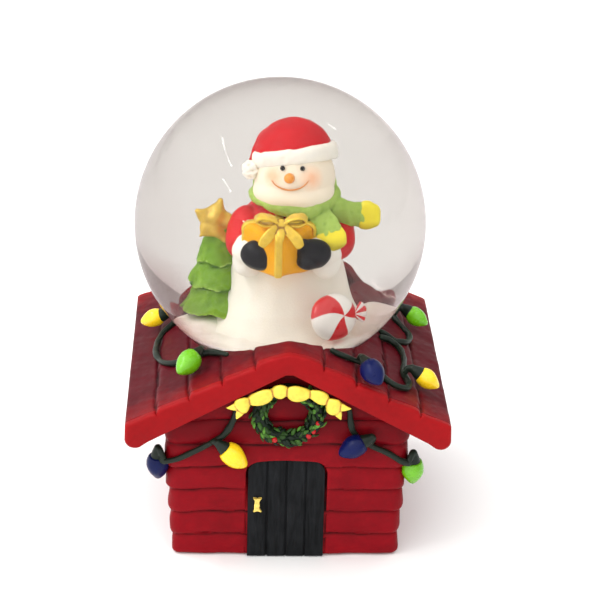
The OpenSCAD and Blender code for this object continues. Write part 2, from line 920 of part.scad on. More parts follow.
module cylinder_gears() {
    color("goldenrod") {
        along_x(pinion_x - 0.7, 0, axis_z) difference() {
            linear_extrude(1.4) gear_outline(pinion_teeth, pinion_r);
            translate([0, 0, -1]) cylinder(h = 4, r = shaft_r);
        }
        along_x(23.6, 0, axis_z) difference() {
            linear_extrude(1.4) gear_outline(gear_teeth, gear_r);
            translate([0, 0, -1]) cylinder(h = 4, r = shaft_r);
        }
    }
}

module governor_gears() {
    color("silver") {
        along_x(23.4, governor_y, axis_z) linear_extrude(1.8) gear_outline(governor_teeth, governor_r);
        along_x(worm_x - 0.6, governor_y, axis_z)
            linear_extrude(1.2) gear_outline(worm_wheel_teeth, worm_wheel_r);
        along_x(bridge_x + 0.2, governor_y, axis_z) cylinder(h = 14.2, r = pivot_r);
    }
}

module worm_shaft() {
    l = worm_turns * worm_lead;
    slices_per_turn = 12;
    color("silver") translate([worm_x, worm_y, 0]) {
        translate([0, 0, plate_z + 1.2]) cylinder(h = fan_z + fan_h - plate_z - 1.2, r = pivot_r);
        translate([0, 0, axis_z - l / 2]) rotate([0, 0, 90 - 180 * worm_turns])
            linear_extrude(l, twist = -360 * worm_turns, slices = slices_per_turn * worm_turns)
                translate([0.35, 0]) circle(worm_r - 0.3, $fn = 10);
    }
}

module governor_fan() {
    color("white") translate([worm_x, worm_y, fan_z]) difference() {
        union() {
            cylinder(h = fan_h, r = 1.6);
            translate([-5.6, -0.4, 0]) cube([11.2, 0.8, fan_h]);
        }
        translate([0, 0, -1]) cylinder(h = fan_h + 2, r = pivot_r);
    }
}

house_walls();
roof();
fascia_boards();
door();
door_handle();
wreath();
wreath_berries();
wreath_ribbon();
front_light_wires();
roof_light_wires();
bulb_sockets();
yellow_bulbs();
green_bulbs();
blue_bulbs();
bottom_cover();
cover_screws();
glass_globe();
globe_stopper();
water();
loose_snow();
snow_ground();
snowman_body();
snowman_coat();
coat_sleeves();
coat_cuffs();
mittens();
scarf();
scarf_fringe();
snowman_head();
eyes();
nose();
mouth();
cheeks();
hat();
hat_brim();
hat_pompom();
gift_box();
gift_ribbon();
gift_bow();
tree();
tree_star();
candy();
candy_wrapper();
bedplate();
movement_screws();
cylinder_brackets();
spring_housing();
mainspring();
comb();
governor_frame();
winding_key();
winding_arbor();
crown_wheel();
pinned_cylinder();
cylinder_shaft();
cylinder_gears();
governor_gears();
worm_shaft();
governor_fan();
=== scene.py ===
"""The looks of a musical snow globe: a water-filled glass with a snowman, on a small painted house.

Lengths in this file are in millimetres in the part's own frame, and every mesh is scaled to metres when it
is made. +Z is up, -Y is the front and +X is to the right seen from the front.
"""

import math

import bmesh
import bpy
import numpy as np
from mathutils import Matrix, Vector
from mathutils.bvhtree import BVHTree


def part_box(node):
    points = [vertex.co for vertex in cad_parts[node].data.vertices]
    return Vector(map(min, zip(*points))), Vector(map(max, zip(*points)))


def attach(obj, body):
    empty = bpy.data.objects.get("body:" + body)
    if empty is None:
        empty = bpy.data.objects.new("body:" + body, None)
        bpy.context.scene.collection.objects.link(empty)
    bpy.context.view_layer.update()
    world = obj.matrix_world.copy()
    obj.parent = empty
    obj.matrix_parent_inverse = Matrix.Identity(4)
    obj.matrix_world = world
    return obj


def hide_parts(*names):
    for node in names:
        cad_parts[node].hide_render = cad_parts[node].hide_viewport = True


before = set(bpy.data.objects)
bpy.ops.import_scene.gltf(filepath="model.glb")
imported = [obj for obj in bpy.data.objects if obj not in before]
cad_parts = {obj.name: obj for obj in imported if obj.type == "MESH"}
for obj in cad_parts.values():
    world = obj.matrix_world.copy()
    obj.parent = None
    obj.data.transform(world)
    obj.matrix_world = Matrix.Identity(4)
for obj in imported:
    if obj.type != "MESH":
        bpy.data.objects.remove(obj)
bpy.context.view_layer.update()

MM = 0.001
TAU = 2 * math.pi
BASE = "base"


# ---------------------------------------------------------------- places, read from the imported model


def box(node):
    """A node's lowest and highest corner, in mm."""
    lo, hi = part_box(node)
    return np.array(lo) / MM, np.array(hi) / MM


def middle(node):
    lo, hi = box(node)
    return (lo + hi) / 2


GLASS_LO, GLASS_HI = box("glass_globe")
GLOBE_R = (GLASS_HI[0] - GLASS_LO[0]) / 2
GLOBE = np.array([(GLASS_LO[0] + GLASS_HI[0]) / 2, (GLASS_LO[1] + GLASS_HI[1]) / 2, GLASS_HI[2] - GLOBE_R])
INNER_R = box("water")[1][2] - GLOBE[2]
ROOF_HI = box("roof")[1]
FASCIA_HI = box("fascia_boards")[1]
WALL_LO, WALL_HI = box("house_walls")
COVER_TOP = box("bottom_cover")[1][2]
DOOR_LO, DOOR_HI = box("door")
GROUND_LO, GROUND_HI = box("snow_ground")

HALF_W = ROOF_HI[0]
HALF_D = FASCIA_HI[1]
RIDGE_Z = ROOF_HI[2]
EAVE_Z = RIDGE_Z - 28.5
SLOPE = (RIDGE_Z - EAVE_Z) / HALF_W
# Boards on each side of the ridge
BOARDS = 5
UNDER_RIDGE = RIDGE_Z - 8.1
UNDER_SLOPE = 0.5475
# Height of one course of the siding, and how many courses lie below the overhang
COURSE_H = 8.9
FULL_COURSES = 4
DOOR_W = 26.0
DOOR_H = 38.5
# Outside and inside of the glass's neck, and where the water meets the stopper
NECK_R = 30.4
BORE_R = 28.2
SEAT_Z = 63.0


def roof_z(x):
    """Height of the roof's top line, without its boards."""
    return RIDGE_Z - SLOPE * abs(x)


def under_z(x):
    """Height of the roof's underside."""
    return UNDER_RIDGE - UNDER_SLOPE * abs(x)


# ---------------------------------------------------------------- shapes, as (vertices, faces) in mm


def ripple(points, size, seed):
    """Smooth noise from -1 to 1 over points, with lumps of about this size."""
    waves = 7
    rng = np.random.default_rng(seed)
    total = np.zeros(len(points))
    for _ in range(waves):
        direction = rng.normal(size=3)
        direction *= TAU / (size * rng.uniform(1.2, 2.6)) / np.linalg.norm(direction)
        total += np.sin(points @ direction + rng.uniform(0, TAU))
    return total / math.sqrt(waves)


def join(parts):
    """One shape from several."""
    verts, faces, first = [], [], 0
    for v, f in parts:
        verts.append(np.asarray(v, float))
        faces += [[i + first for i in face] for face in f]
        first += len(v)
    return np.vstack(verts), faces


def ring_grid(rings, closed_ends=True):
    """Skins a stack of rings of equal length into a closed surface."""
    rows, cols = len(rings), len(rings[0])
    verts = np.vstack(rings)
    faces = [
        [r * cols + c, r * cols + (c + 1) % cols, (r + 1) * cols + (c + 1) % cols, (r + 1) * cols + c]
        for r in range(rows - 1)
        for c in range(cols)
    ]
    if closed_ends:
        faces.append(list(range(cols))[::-1])
        faces.append([(rows - 1) * cols + c for c in range(cols)])
    return verts, faces


def lathe(profile, centre=(0, 0, 0), sides=64, turn=None, closed_ends=False):
    """Turns (radius, height) points, listed upwards, about the local Z axis."""
    angles = np.arange(sides) * TAU / sides
    rings = [np.stack([r * np.cos(angles), r * np.sin(angles), np.full(sides, z)], 1) for r, z in profile]
    verts, faces = ring_grid(rings, closed_ends)
    if turn is not None:
        verts = verts @ np.array(turn.to_3x3()).T
    return verts + np.array(centre, float), faces


def ball(centre, radii, sides=48, turn=None):
    if np.isscalar(radii):
        radii = (radii, radii, radii)
    steps = sides // 2
    profile = [(math.sin(math.pi * i / steps), -math.cos(math.pi * i / steps)) for i in range(steps + 1)]
    verts, faces = lathe(profile, sides=sides)
    verts = verts * np.array(radii)
    if turn is not None:
        verts = verts @ np.array(turn.to_3x3()).T
    return verts + np.array(centre, float), faces


def spline(points, count):
    """Catmull-Rom through rows of numbers."""
    p = np.asarray(points, float)
    p = np.vstack([2 * p[0] - p[1], p, 2 * p[-1] - p[-2]])
    out = []
    for s in np.linspace(0, len(p) - 3 - 1e-9, count):
        i, t = int(s), s - int(s)
        a, b, c, d = p[i : i + 4]
        out.append(
            0.5 * (2 * b + (c - a) * t + (2 * a - 5 * b + 4 * c - d) * t**2 + (3 * b - a - 3 * c + d) * t**3))
    return np.array(out)


def sweep(points, widths, heights=None, count=60, sides=24, up=(0, 0, 1), power=2.0):
    """A closed soft bar along a smooth line. Widths lie across `up`, heights along it."""
    points = np.asarray(points, float)
    widths = np.broadcast_to(np.asarray(widths, float), len(points))
    heights = widths if heights is None else np.broadcast_to(np.asarray(heights, float), len(points))
    line = spline(np.column_stack([points, widths, heights]), count)
    tangents = np.gradient(line[:, :3], axis=0)
    tangents /= np.linalg.norm(tangents, axis=1)[:, None]
    angles = np.arange(sides) * TAU / sides
    c, s = np.cos(angles), np.sin(angles)
    shape = np.stack([np.sign(c) * np.abs(c) ** (2 / power), np.sign(s) * np.abs(s) ** (2 / power)], 1)
    up = np.asarray(up, float)

    def ring(at, tangent, w, h):
        side = np.cross(tangent, up)
        side /= np.linalg.norm(side)
        rise = np.cross(side, tangent)
        return at + shape[:, :1] * w * side + shape[:, 1:] * h * rise

    rings = []
    for end in (0, -1):
        sign = -1 if end == 0 else 1
        at, w, h = line[end, :3], line[end, 3], line[end, 4]
        reach = min(w, h)
        steps = [(reach * math.sin(a), math.cos(a)) for a in np.linspace(0.15, math.pi / 2, 6)]
        caps = [ring(at + sign * tangents[end] * d, tangents[end], w * k, h * k) for d, k in steps]
        if end == 0:
            rings += caps[::-1]
            rings += [ring(line[i, :3], tangents[i], line[i, 3], line[i, 4]) for i in range(count)]
        else:
            rings += caps
    return ring_grid(rings, closed_ends=False)


def plate(outline, depth, bevel):
    """A closed slab from an (a, b) outline: it lies in X and Z, from y = 0 at the front to y = depth.
    Its front edge is rounded by the bevel."""
    outline = np.asarray(outline, float)
    before, after = np.roll(outline, 1, 0), np.roll(outline, -1, 0)
    edge_in = (outline - before) / np.maximum(np.linalg.norm(outline - before, axis=1), 1e-9)[:, None]
    edge_out = (after - outline) / np.maximum(np.linalg.norm(after - outline, axis=1), 1e-9)[:, None]
    direction = edge_in + edge_out
    direction /= np.maximum(np.linalg.norm(direction, axis=1), 1e-9)[:, None]
    inward = np.stack([-direction[:, 1], direction[:, 0]], 1)
    area = 0.5 * np.sum(outline[:, 0] * after[:, 1] - after[:, 0] * outline[:, 1])
    inward *= math.copysign(1, area)
    rings = []
    for a in np.linspace(0, math.pi / 2, 4):
        inset, y = bevel * (1 - math.sin(a)), bevel * (1 - math.cos(a))
        ring = outline + inward * inset
        rings.append(np.stack([ring[:, 0], np.full(len(ring), y), ring[:, 1]], 1))
    rings.append(np.stack([outline[:, 0], np.full(len(outline), depth), outline[:, 1]], 1))
    return ring_grid(rings)


def arc(centre, r, start, end, steps):
    """Points on a circle, angles in degrees."""
    angles = np.radians(np.linspace(start, end, steps + 1))
    return [(centre[0] + r * math.cos(a), centre[1] + r * math.sin(a)) for a in angles]


def rounded_rect(w, d, r, steps=8, side=1):
    """Points anticlockwise round a rounded rectangle, with each straight side cut into `side` lengths."""
    corners = [(w / 2 - r, d / 2 - r, 0), (r - w / 2, d / 2 - r, 90), (r - w / 2, r - d / 2, 180),
        (w / 2 - r, r - d / 2, 270)]
    out = []
    for i, (x, y, a) in enumerate(corners):
        out += arc((x, y), r, a, a + 90, steps)
        nx, ny, na = corners[(i + 1) % 4]
        start = np.array(out[-1])
        end = np.array([nx + r * math.cos(math.radians(na)), ny + r * math.sin(math.radians(na))])
        out += [tuple(start + (end - start) * k / side) for k in range(1, side)]
    return out


def facing(direction):
    """A rotation that takes local Z to the direction."""
    return Vector(direction).to_track_quat("Z", "Y").to_matrix()


def unit(to, at):
    """The direction from one point to another."""
    step = np.array(to) - np.array(at)
    return step / np.linalg.norm(step)


# ---------------------------------------------------------------- meshes


def mesh_object(name, shape, sharp=None):
    """A clean mesh with outward faces, smooth except at edges sharper than this many degrees."""
    verts, faces = shape
    mesh = bpy.data.meshes.new(name)
    mesh.from_pydata((np.asarray(verts) * MM).tolist(), [], faces)
    bm = bmesh.new()
    bm.from_mesh(mesh)
    bmesh.ops.remove_doubles(bm, verts=bm.verts, dist=1e-7)
    bmesh.ops.dissolve_degenerate(bm, edges=bm.edges, dist=1e-8)
    bmesh.ops.recalc_face_normals(bm, faces=bm.faces)
    bm.to_mesh(mesh)
    bm.free()
    obj = bpy.data.objects.new(name, mesh)
    bpy.context.scene.collection.objects.link(obj)
    mesh.polygons.foreach_set("use_smooth", [True] * len(mesh.polygons))
    if sharp is not None:
        mesh.set_sharp_from_angle(angle=math.radians(sharp))
    return obj


def apply_modifiers(obj):
    """Bakes the modifiers into the mesh."""
    bpy.context.view_layer.update()
    graph = bpy.context.evaluated_depsgraph_get()
    mesh = bpy.data.meshes.new_from_object(obj.evaluated_get(graph))
    old = obj.data
    obj.modifiers.clear()
    obj.data = mesh
    bpy.data.meshes.remove(old)


def cut(obj, *tools):
    """Takes each tool's solid out of the mesh."""
    for tool in tools:
        mod = obj.modifiers.new("cut", "BOOLEAN")
        mod.operation = "DIFFERENCE"
        mod.solver = "MANIFOLD"
        mod.object = tool
        apply_modifiers(obj)


def coords(obj):
    """The vertices, in mm."""
    co = np.empty(len(obj.data.vertices) * 3)
    obj.data.vertices.foreach_get("co", co)
    return co.reshape(-1, 3) / MM


def set_coords(obj, co):
    obj.data.vertices.foreach_set("co", (co * MM).ravel())
    obj.data.update()


def normals(obj):
    n = np.empty(len(obj.data.vertices) * 3)
    obj.data.vertex_normals.foreach_get("vector", n)
    return n.reshape(-1, 3)


def edges_of(obj):
    e = np.empty(len(obj.data.edges) * 2, dtype=np.int64)
    obj.data.edges.foreach_get("vertices", e)
    return e.reshape(-1, 2)


def averaged(values, edges, times):
    """Averages values with their neighbours along the edges."""
    count = np.bincount(edges.ravel(), minlength=len(values)).astype(float)
    if values.ndim > 1:
        count = count[:, None]
    for _ in range(times):
        total = np.zeros_like(values)
        np.add.at(total, edges[:, 0], values[edges[:, 1]])
        np.add.at(total, edges[:, 1], values[edges[:, 0]])
        values = 0.5 * values + 0.5 * total / np.maximum(count, 1)
    return values


def fuse(name, parts, voxel=0.35, smooth=3):
    """Melts closed solids into one sculpted skin."""
    obj = mesh_object(name, join(parts))
    mod = obj.modifiers.new("fuse", "REMESH")
    mod.mode = "VOXEL"
    mod.voxel_size = voxel * MM
    apply_modifiers(obj)
    set_coords(obj, averaged(coords(obj), edges_of(obj), smooth))
    obj.data.polygons.foreach_set("use_smooth", [True] * len(obj.data.polygons))
    return obj


def lumps(obj, *layers):
    """Moves the surface in and out: each layer is (size of a lump, depth, seed)."""
    co, n = coords(obj), normals(obj)
    for size, depth, seed in layers:
        co = co + n * (ripple(co, size, seed) * depth)[:, None]
    set_coords(obj, co)


def shade_hollows(obj, spread=3, gain=1.0):
    """Stores how hollow and how proud each point is, for painted shade in the hollows and painted highlights
    on the proud edges.
    """
    co, n, e = coords(obj), normals(obj), edges_of(obj)
    d = co[e[:, 1]] - co[e[:, 0]]
    length = np.maximum(np.sum(d * d, 1), 1e-9)
    bend = np.zeros(len(co))
    count = np.bincount(e.ravel(), minlength=len(co)).astype(float)
    np.add.at(bend, e[:, 0], np.sum(d * n[e[:, 0]], 1) / length)
    np.add.at(bend, e[:, 1], -np.sum(d * n[e[:, 1]], 1) / length)
    bend = averaged(bend / np.maximum(count, 1), e, spread)
    # One value marks the hollows for painted shade, the other the proud edges for painted highlights.
    for label, value in (("hollow_shade", bend * 3.2 * gain - 0.05), ("edge", -bend * 2.2 * gain - 0.25)):
        layer = obj.data.attributes.new(label, "FLOAT", "POINT")
        layer.data.foreach_set("value", np.clip(value, 0, 1).astype(np.float32))


# ---------------------------------------------------------------- materials


class Tree:
    """Short calls for one material's nodes."""

    def __init__(self, name):
        self.mat = bpy.data.materials.new(name)
        self.mat.use_nodes = True
        self.nodes = self.mat.node_tree.nodes
        self.links = self.mat.node_tree.links
        self.nodes.clear()
        self.out = self.nodes.new("ShaderNodeOutputMaterial")
        self.place = self.nodes.new("ShaderNodeTexCoord").outputs["Object"]

    def add(self, kind, **settings):
        node = self.nodes.new(kind)
        for key, value in settings.items():
            setattr(node, key, value)
        return node

    def link(self, value, socket):
        if isinstance(value, bpy.types.NodeSocket):
            self.links.new(value, socket)
        elif isinstance(value, (tuple, list)) and len(value) == 3 and socket.type == "RGBA":
            socket.default_value = (*value, 1)
        else:
            socket.default_value = value

    def noise(self, size, detail=3.0, rough=0.55, place=None, distortion=0.0):
        """Noise with features of about this many mm."""
        node = self.add("ShaderNodeTexNoise")
        self.link(place or self.place, node.inputs["Vector"])
        node.inputs["Scale"].default_value = 1 / (size * MM)
        node.inputs["Detail"].default_value = detail
        node.inputs["Roughness"].default_value = rough
        node.inputs["Distortion"].default_value = distortion
        return node.outputs["Fac"]

    def stretch(self, scale):
        """The object's own coordinates, scaled along each axis."""
        node = self.add("ShaderNodeMapping")
        self.link(self.place, node.inputs["Vector"])
        node.inputs["Scale"].default_value = scale
        return node.outputs["Vector"]

    def math(self, op, a, b=0.0, clamp=False):
        node = self.add("ShaderNodeMath", operation=op, use_clamp=clamp)
        self.link(a, node.inputs[0])
        self.link(b, node.inputs[1])
        return node.outputs[0]

    def ramp(self, value, low, high, to_low=0.0, to_high=1.0):
        node = self.add("ShaderNodeMapRange")
        for socket, v in zip(("Value", "From Min", "From Max", "To Min", "To Max"),
            (value, low, high, to_low, to_high)):
            self.link(v, node.inputs[socket])
        return node.outputs[0]

    def mix(self, factor, a, b):
        node = self.add("ShaderNodeMix", data_type="RGBA")
        self.link(factor, node.inputs[0])
        self.link(a, node.inputs[6])
        self.link(b, node.inputs[7])
        return node.outputs[2]

    def attribute(self, name):
        return self.add("ShaderNodeAttribute", attribute_name=name).outputs["Fac"]

    def axis(self, index, place=None):
        """One coordinate, in metres."""
        node = self.add("ShaderNodeSeparateXYZ")
        self.link(place or self.place, node.inputs[0])
        return node.outputs[index]

    def turned(self, at, matrix):
        """Coordinates measured from a point, in mm, along turned axes."""
        node = self.add("ShaderNodeMapping", vector_type="TEXTURE")
        self.link(self.place, node.inputs["Vector"])
        node.inputs["Location"].default_value = [v * MM for v in at]
        node.inputs["Rotation"].default_value = matrix.to_euler()
        return node.outputs[0]

    def distance(self, point):
        """How far the surface is from a point given in mm."""
        node = self.add("ShaderNodeVectorMath", operation="DISTANCE")
        self.link(self.place, node.inputs[0])
        node.inputs[1].default_value = [v * MM for v in point]
        return node.outputs["Value"]

    def bump(self, height, depth):
        node = self.add("ShaderNodeBump")
        node.inputs["Strength"].default_value = 1.0
        node.inputs["Distance"].default_value = depth * MM
        self.link(height, node.inputs["Height"])
        return node.outputs[0]

    def surface(self, colour, rough, normal=None, **settings):
        node = self.add("ShaderNodeBsdfPrincipled")
        self.link(colour, node.inputs["Base Color"])
        self.link(rough, node.inputs["Roughness"])
        if normal is not None:
            self.link(normal, node.inputs["Normal"])
        for key, value in settings.items():
            self.link(value, node.inputs[key.replace("_", " ")])
        self.links.new(node.outputs[0], self.out.inputs["Surface"])
        return node


def shade(colour, k):
    """A lighter or darker tone of a colour."""
    return tuple(min(1.0, c * k) for c in colour)


def painted(name, base, hollow_shade=None, edge=None, rough=0.45, coat=0.05, vary=0.16, bump=0.05, tone=None,
    gloss=0.2):
    """Hand-painted resin: uneven cover, a darker colour in the hollows as painted shade, and a lighter one on
    the proud edges as painted highlights.
    tone(tree, colour) can add paint of its own."""
    t = Tree(name)
    broad, fine = t.noise(14, 2.0), t.noise(2.2, 4.0, 0.6)
    blend = t.math("ADD", t.math("MULTIPLY", broad, 0.6), t.math("MULTIPLY", fine, 0.4))
    colour = t.mix(t.ramp(blend, 0.3, 0.7), shade(base, 1 - vary), shade(base, 1 + vary * 0.8))
    if tone:
        colour = tone(t, colour)
    # Painted shade: the hollows darken towards the darker colour given.
    if hollow_shade:
        patchy = t.ramp(t.noise(3.5, 3.0), 0.25, 0.7, 0.55, 1.15)
        colour = t.mix(t.math("MULTIPLY", t.attribute("hollow_shade"), patchy, clamp=True), colour, hollow_shade)
    # Painted highlight: the proud edges lighten towards the lighter colour given.
    if edge:
        colour = t.mix(t.math("MULTIPLY", t.attribute("edge"), t.ramp(fine, 0.3, 0.7, 0.3, 1.0), clamp=True),
            colour, edge)
    grain = t.math("ADD", t.math("MULTIPLY", t.noise(0.8, 3.0), 0.5),
        t.math("MULTIPLY", t.noise(3.0, 2.0), 0.8))
    t.surface(colour, t.ramp(fine, 0.3, 0.7, rough - 0.07, rough + 0.1), t.bump(grain, bump),
        Specular_IOR_Level=gloss,
              Coat_Weight=coat, Coat_Roughness=0.22)
    return t.mat


def metal(name, colour, rough=0.3, brushed=(1, 1, 1), tarnish=None):
    """Plated or bare metal with fine brushing along one axis and patches of tarnish."""
    t = Tree(name)
    streaks = t.noise(1.2, 4.0, 0.6, t.stretch(brushed))
    stain = t.noise(5.0, 3.0)
    colour = t.mix(t.ramp(stain, 0.45, 0.7), shade(colour, 1.05), tarnish or shade(colour, 0.72))
    t.surface(
        colour, t.ramp(streaks, 0.3, 0.7, rough * 0.75, rough * 1.35), t.bump(streaks, 0.012),
        Metallic=1.0)
    return t.mat


def clear(name, colour, rim, ior):
    """Glass or water with painted light in its colour: a grey tint as painted shade over all that shows
    through it, a deeper mauve rim as a painted view of the red house in its edge, and warmer mauve-red low
    down at both sides as a painted view of the red roof bent through the globe.
    Light from the lamps reaches the figure straight through it."""
    t = Tree(name)
    slant = t.add("ShaderNodeLayerWeight")
    slant.inputs["Blend"].default_value = 0.5
    edge = t.math("POWER", slant.outputs["Facing"], 5.0)
    # Painted mauve rim, standing in for the red house seen in the edge of the globe.
    colour = t.mix(edge, colour, rim)
    # Painted mauve-red low at both sides, standing in for the red roof seen bent through the globe.
    low = t.math("MULTIPLY", t.ramp(t.axis(2), 72 * MM, 106 * MM, 1.0, 0.0),
        t.ramp(t.noise(26, 2.0), 0.35, 0.65, 0.3, 1.0))
    side = t.ramp(t.math("ABSOLUTE", t.axis(0)), 18 * MM, 40 * MM, 0.0, 1.0)
    colour = t.mix(t.math("MULTIPLY", low, side), colour, (0.46, 0.27, 0.28))
    body = t.surface(colour, 0.0, Transmission_Weight=1.0, IOR=ior, Specular_IOR_Level=0.3)
    straight = t.add("ShaderNodeBsdfTransparent")
    straight.inputs[0].default_value = (1, 1, 1, 1)
    path = t.add("ShaderNodeLightPath")
    shader = body.outputs[0]
    for ray in ("Is Diffuse Ray", "Is Shadow Ray"):
        node = t.add("ShaderNodeMixShader")
        t.links.new(path.outputs[ray], node.inputs[0])
        t.links.new(shader, node.inputs[1])
        t.links.new(straight.outputs[0], node.inputs[2])
        shader = node.outputs[0]
    t.links.new(shader, t.out.inputs["Surface"])
    return t.mat


def finish(obj, mat, nodes=(), body=BASE, hollows=None):
    """Gives a piece its paint and its body, and hides the CAD nodes that it stands for."""
    if hollows is not None:
        shade_hollows(obj, *hollows)
    obj.data.materials.clear()
    obj.data.materials.append(mat)
    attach(obj, body)
    if nodes:
        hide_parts(*nodes)
    return obj


# ---------------------------------------------------------------- camera, light and floor


def make_camera():
    """The camera at the photograph's angle. Returns its place."""
    down, turn, roll = math.radians(24.70), math.radians(-1.93), math.radians(1.28)
    distance = 703 * MM
    forward = Vector((-math.sin(turn) * math.cos(down), math.cos(turn) * math.cos(down), -math.sin(down)))
    right = Vector((math.cos(turn), math.sin(turn), 0))
    up = right.cross(forward)
    rolled_right = math.cos(roll) * right + math.sin(roll) * up
    rolled_up = -math.sin(roll) * right + math.cos(roll) * up
    camera = bpy.data.cameras.new("camera")
    camera.sensor_width = 36
    camera.lens = 121.3
    camera.shift_x = 0.0233
    camera.shift_y = 0.008
    obj = bpy.data.objects.new("camera", camera)
    bpy.context.scene.collection.objects.link(obj)
    target = Vector((0, 0, 75 * MM))
    place = Matrix((rolled_right, rolled_up, -forward)).transposed().to_4x4()
    place.translation = target - forward * distance
    obj.matrix_world = place
    bpy.context.scene.camera = obj
    return place.translation


# Where the soft light comes from, and the sky's strength away from it and towards it
SOFT_LIGHT = (-0.5, -0.35, 0.8)
SKY = (0.74, 1.9)
# Lamp strips: name, where the reflection on the glass starts and ends, and power in watts. The two places are
# degrees to the right of the front and degrees above the globe's middle.
LAMP_STRIPS = [
    ("left_strip_high", (-41.5, 52.5), (-34.5, 47.5), 2.2),
    ("left_strip_middle", (-32.0, 45.5), (-27.0, 41.5), 1.8),
    ("left_strip_low", (-29.5, 36.5), (-24.0, 32.0), 2.0),
    ("right_strip", (35.5, 60.5), (38.0, 57.0), 0.3)]
LAMP_DISTANCE = 1300 * MM
LAMP_WIDTH = 22 * MM


def mirrored_place(degrees, eye):
    """Where a lamp stands to be seen in the glass at this place."""
    aside, height = map(math.radians, degrees)
    out = Vector((math.sin(aside) * math.cos(height), -math.cos(aside) * math.cos(height), math.sin(height)))
    at = (Vector(GLOBE.tolist()) + out * GLOBE_R) * MM
    return at + (at - eye).normalized().reflect(out) * LAMP_DISTANCE


def strip_light(name, start, end, width, power):
    """A thin lamp from start to end that faces the globe."""
    place = (start + end) / 2
    light = bpy.data.lights.new(name, "AREA")
    light.shape = "RECTANGLE"
    light.size, light.size_y = width, (end - start).length
    light.energy = power
    obj = bpy.data.objects.new(name, light)
    back = (place - Vector(GLOBE.tolist()) * MM).normalized()
    side = (end - start).cross(back).normalized()
    axes = Matrix((side, back.cross(side), back)).transposed().to_4x4()
    obj.matrix_world = Matrix.Translation(place) @ axes
    bpy.context.scene.collection.objects.link(obj)


def make_studio(eye):
    """Soft sky, lamp strips and a pale floor."""
    world = bpy.data.worlds.new("studio")
    bpy.context.scene.world = world
    world.use_nodes = True
    nodes, links = world.node_tree.nodes, world.node_tree.links
    place = nodes.new("ShaderNodeTexCoord")
    toward = nodes.new("ShaderNodeVectorMath")
    toward.operation = "DOT_PRODUCT"
    toward.inputs[1].default_value = Vector(SOFT_LIGHT).normalized()
    links.new(place.outputs["Generated"], toward.inputs[0])
    strength = nodes.new("ShaderNodeMapRange")
    strength.interpolation_type = "SMOOTHSTEP"
    for socket, value in (("From Min", -0.2), ("From Max", 1.0), ("To Min", SKY[0]), ("To Max", SKY[1])):
        strength.inputs[socket].default_value = value
    links.new(toward.outputs["Value"], strength.inputs["Value"])
    back = nodes["Background"]
    back.inputs[0].default_value = (1.0, 0.995, 0.985, 1)
    links.new(strength.outputs[0], back.inputs[1])
    for name, start, end, power in LAMP_STRIPS:
        strip_light(name, mirrored_place(start, eye), mirrored_place(end, eye), LAMP_WIDTH, power)
    bpy.context.scene.view_settings.view_transform = "Standard"
    half = 3000
    corners = [(-half, -half, 0), (half, -half, 0), (half, half, 0), (-half, half, 0)]
    floor = mesh_object("floor", (corners, [[0, 1, 2, 3]]))
    t = Tree("floor_paper")
    t.surface(t.mix(t.noise(900, 2.0), (0.93, 0.93, 0.93), (0.96, 0.96, 0.955)), 0.75)
    floor.data.materials.append(t.mat)


# ---------------------------------------------------------------- house


def globe_tools():
    """The hollow that the glass and its neck need in the roof and the walls."""
    sphere = mesh_object("sphere_tool", ball(GLOBE, GLOBE_R + 0.3, 192))
    well = mesh_object("well_tool",
        lathe([(31.2, 53), (31.2, 66)], (GLOBE[0], GLOBE[1], 0), 128, closed_ends=True))
    return [sphere, well]


def drop(objs):
    """Removes tools that are no longer needed."""
    for o in objs:
        bpy.data.objects.remove(o)


def door_outline(w, h, grow=0.0):
    """Rounded shoulders and a slightly arched head, anticlockwise from the lower left."""
    half, r, crown = w / 2 + grow, 5.2, 1.3
    top = h + grow
    head = [(x, top - crown * (x / half) ** 2) for x in np.linspace(half - r, r - half, 17)]
    drop_z = head[0][1] - r
    right = arc((half - r, drop_z), r, 0, 84, 8)
    left = arc((r - half, drop_z), r, 96, 180, 8)
    return [(-half, 0.0), (half, 0.0)] + right + head[1:-1] + left


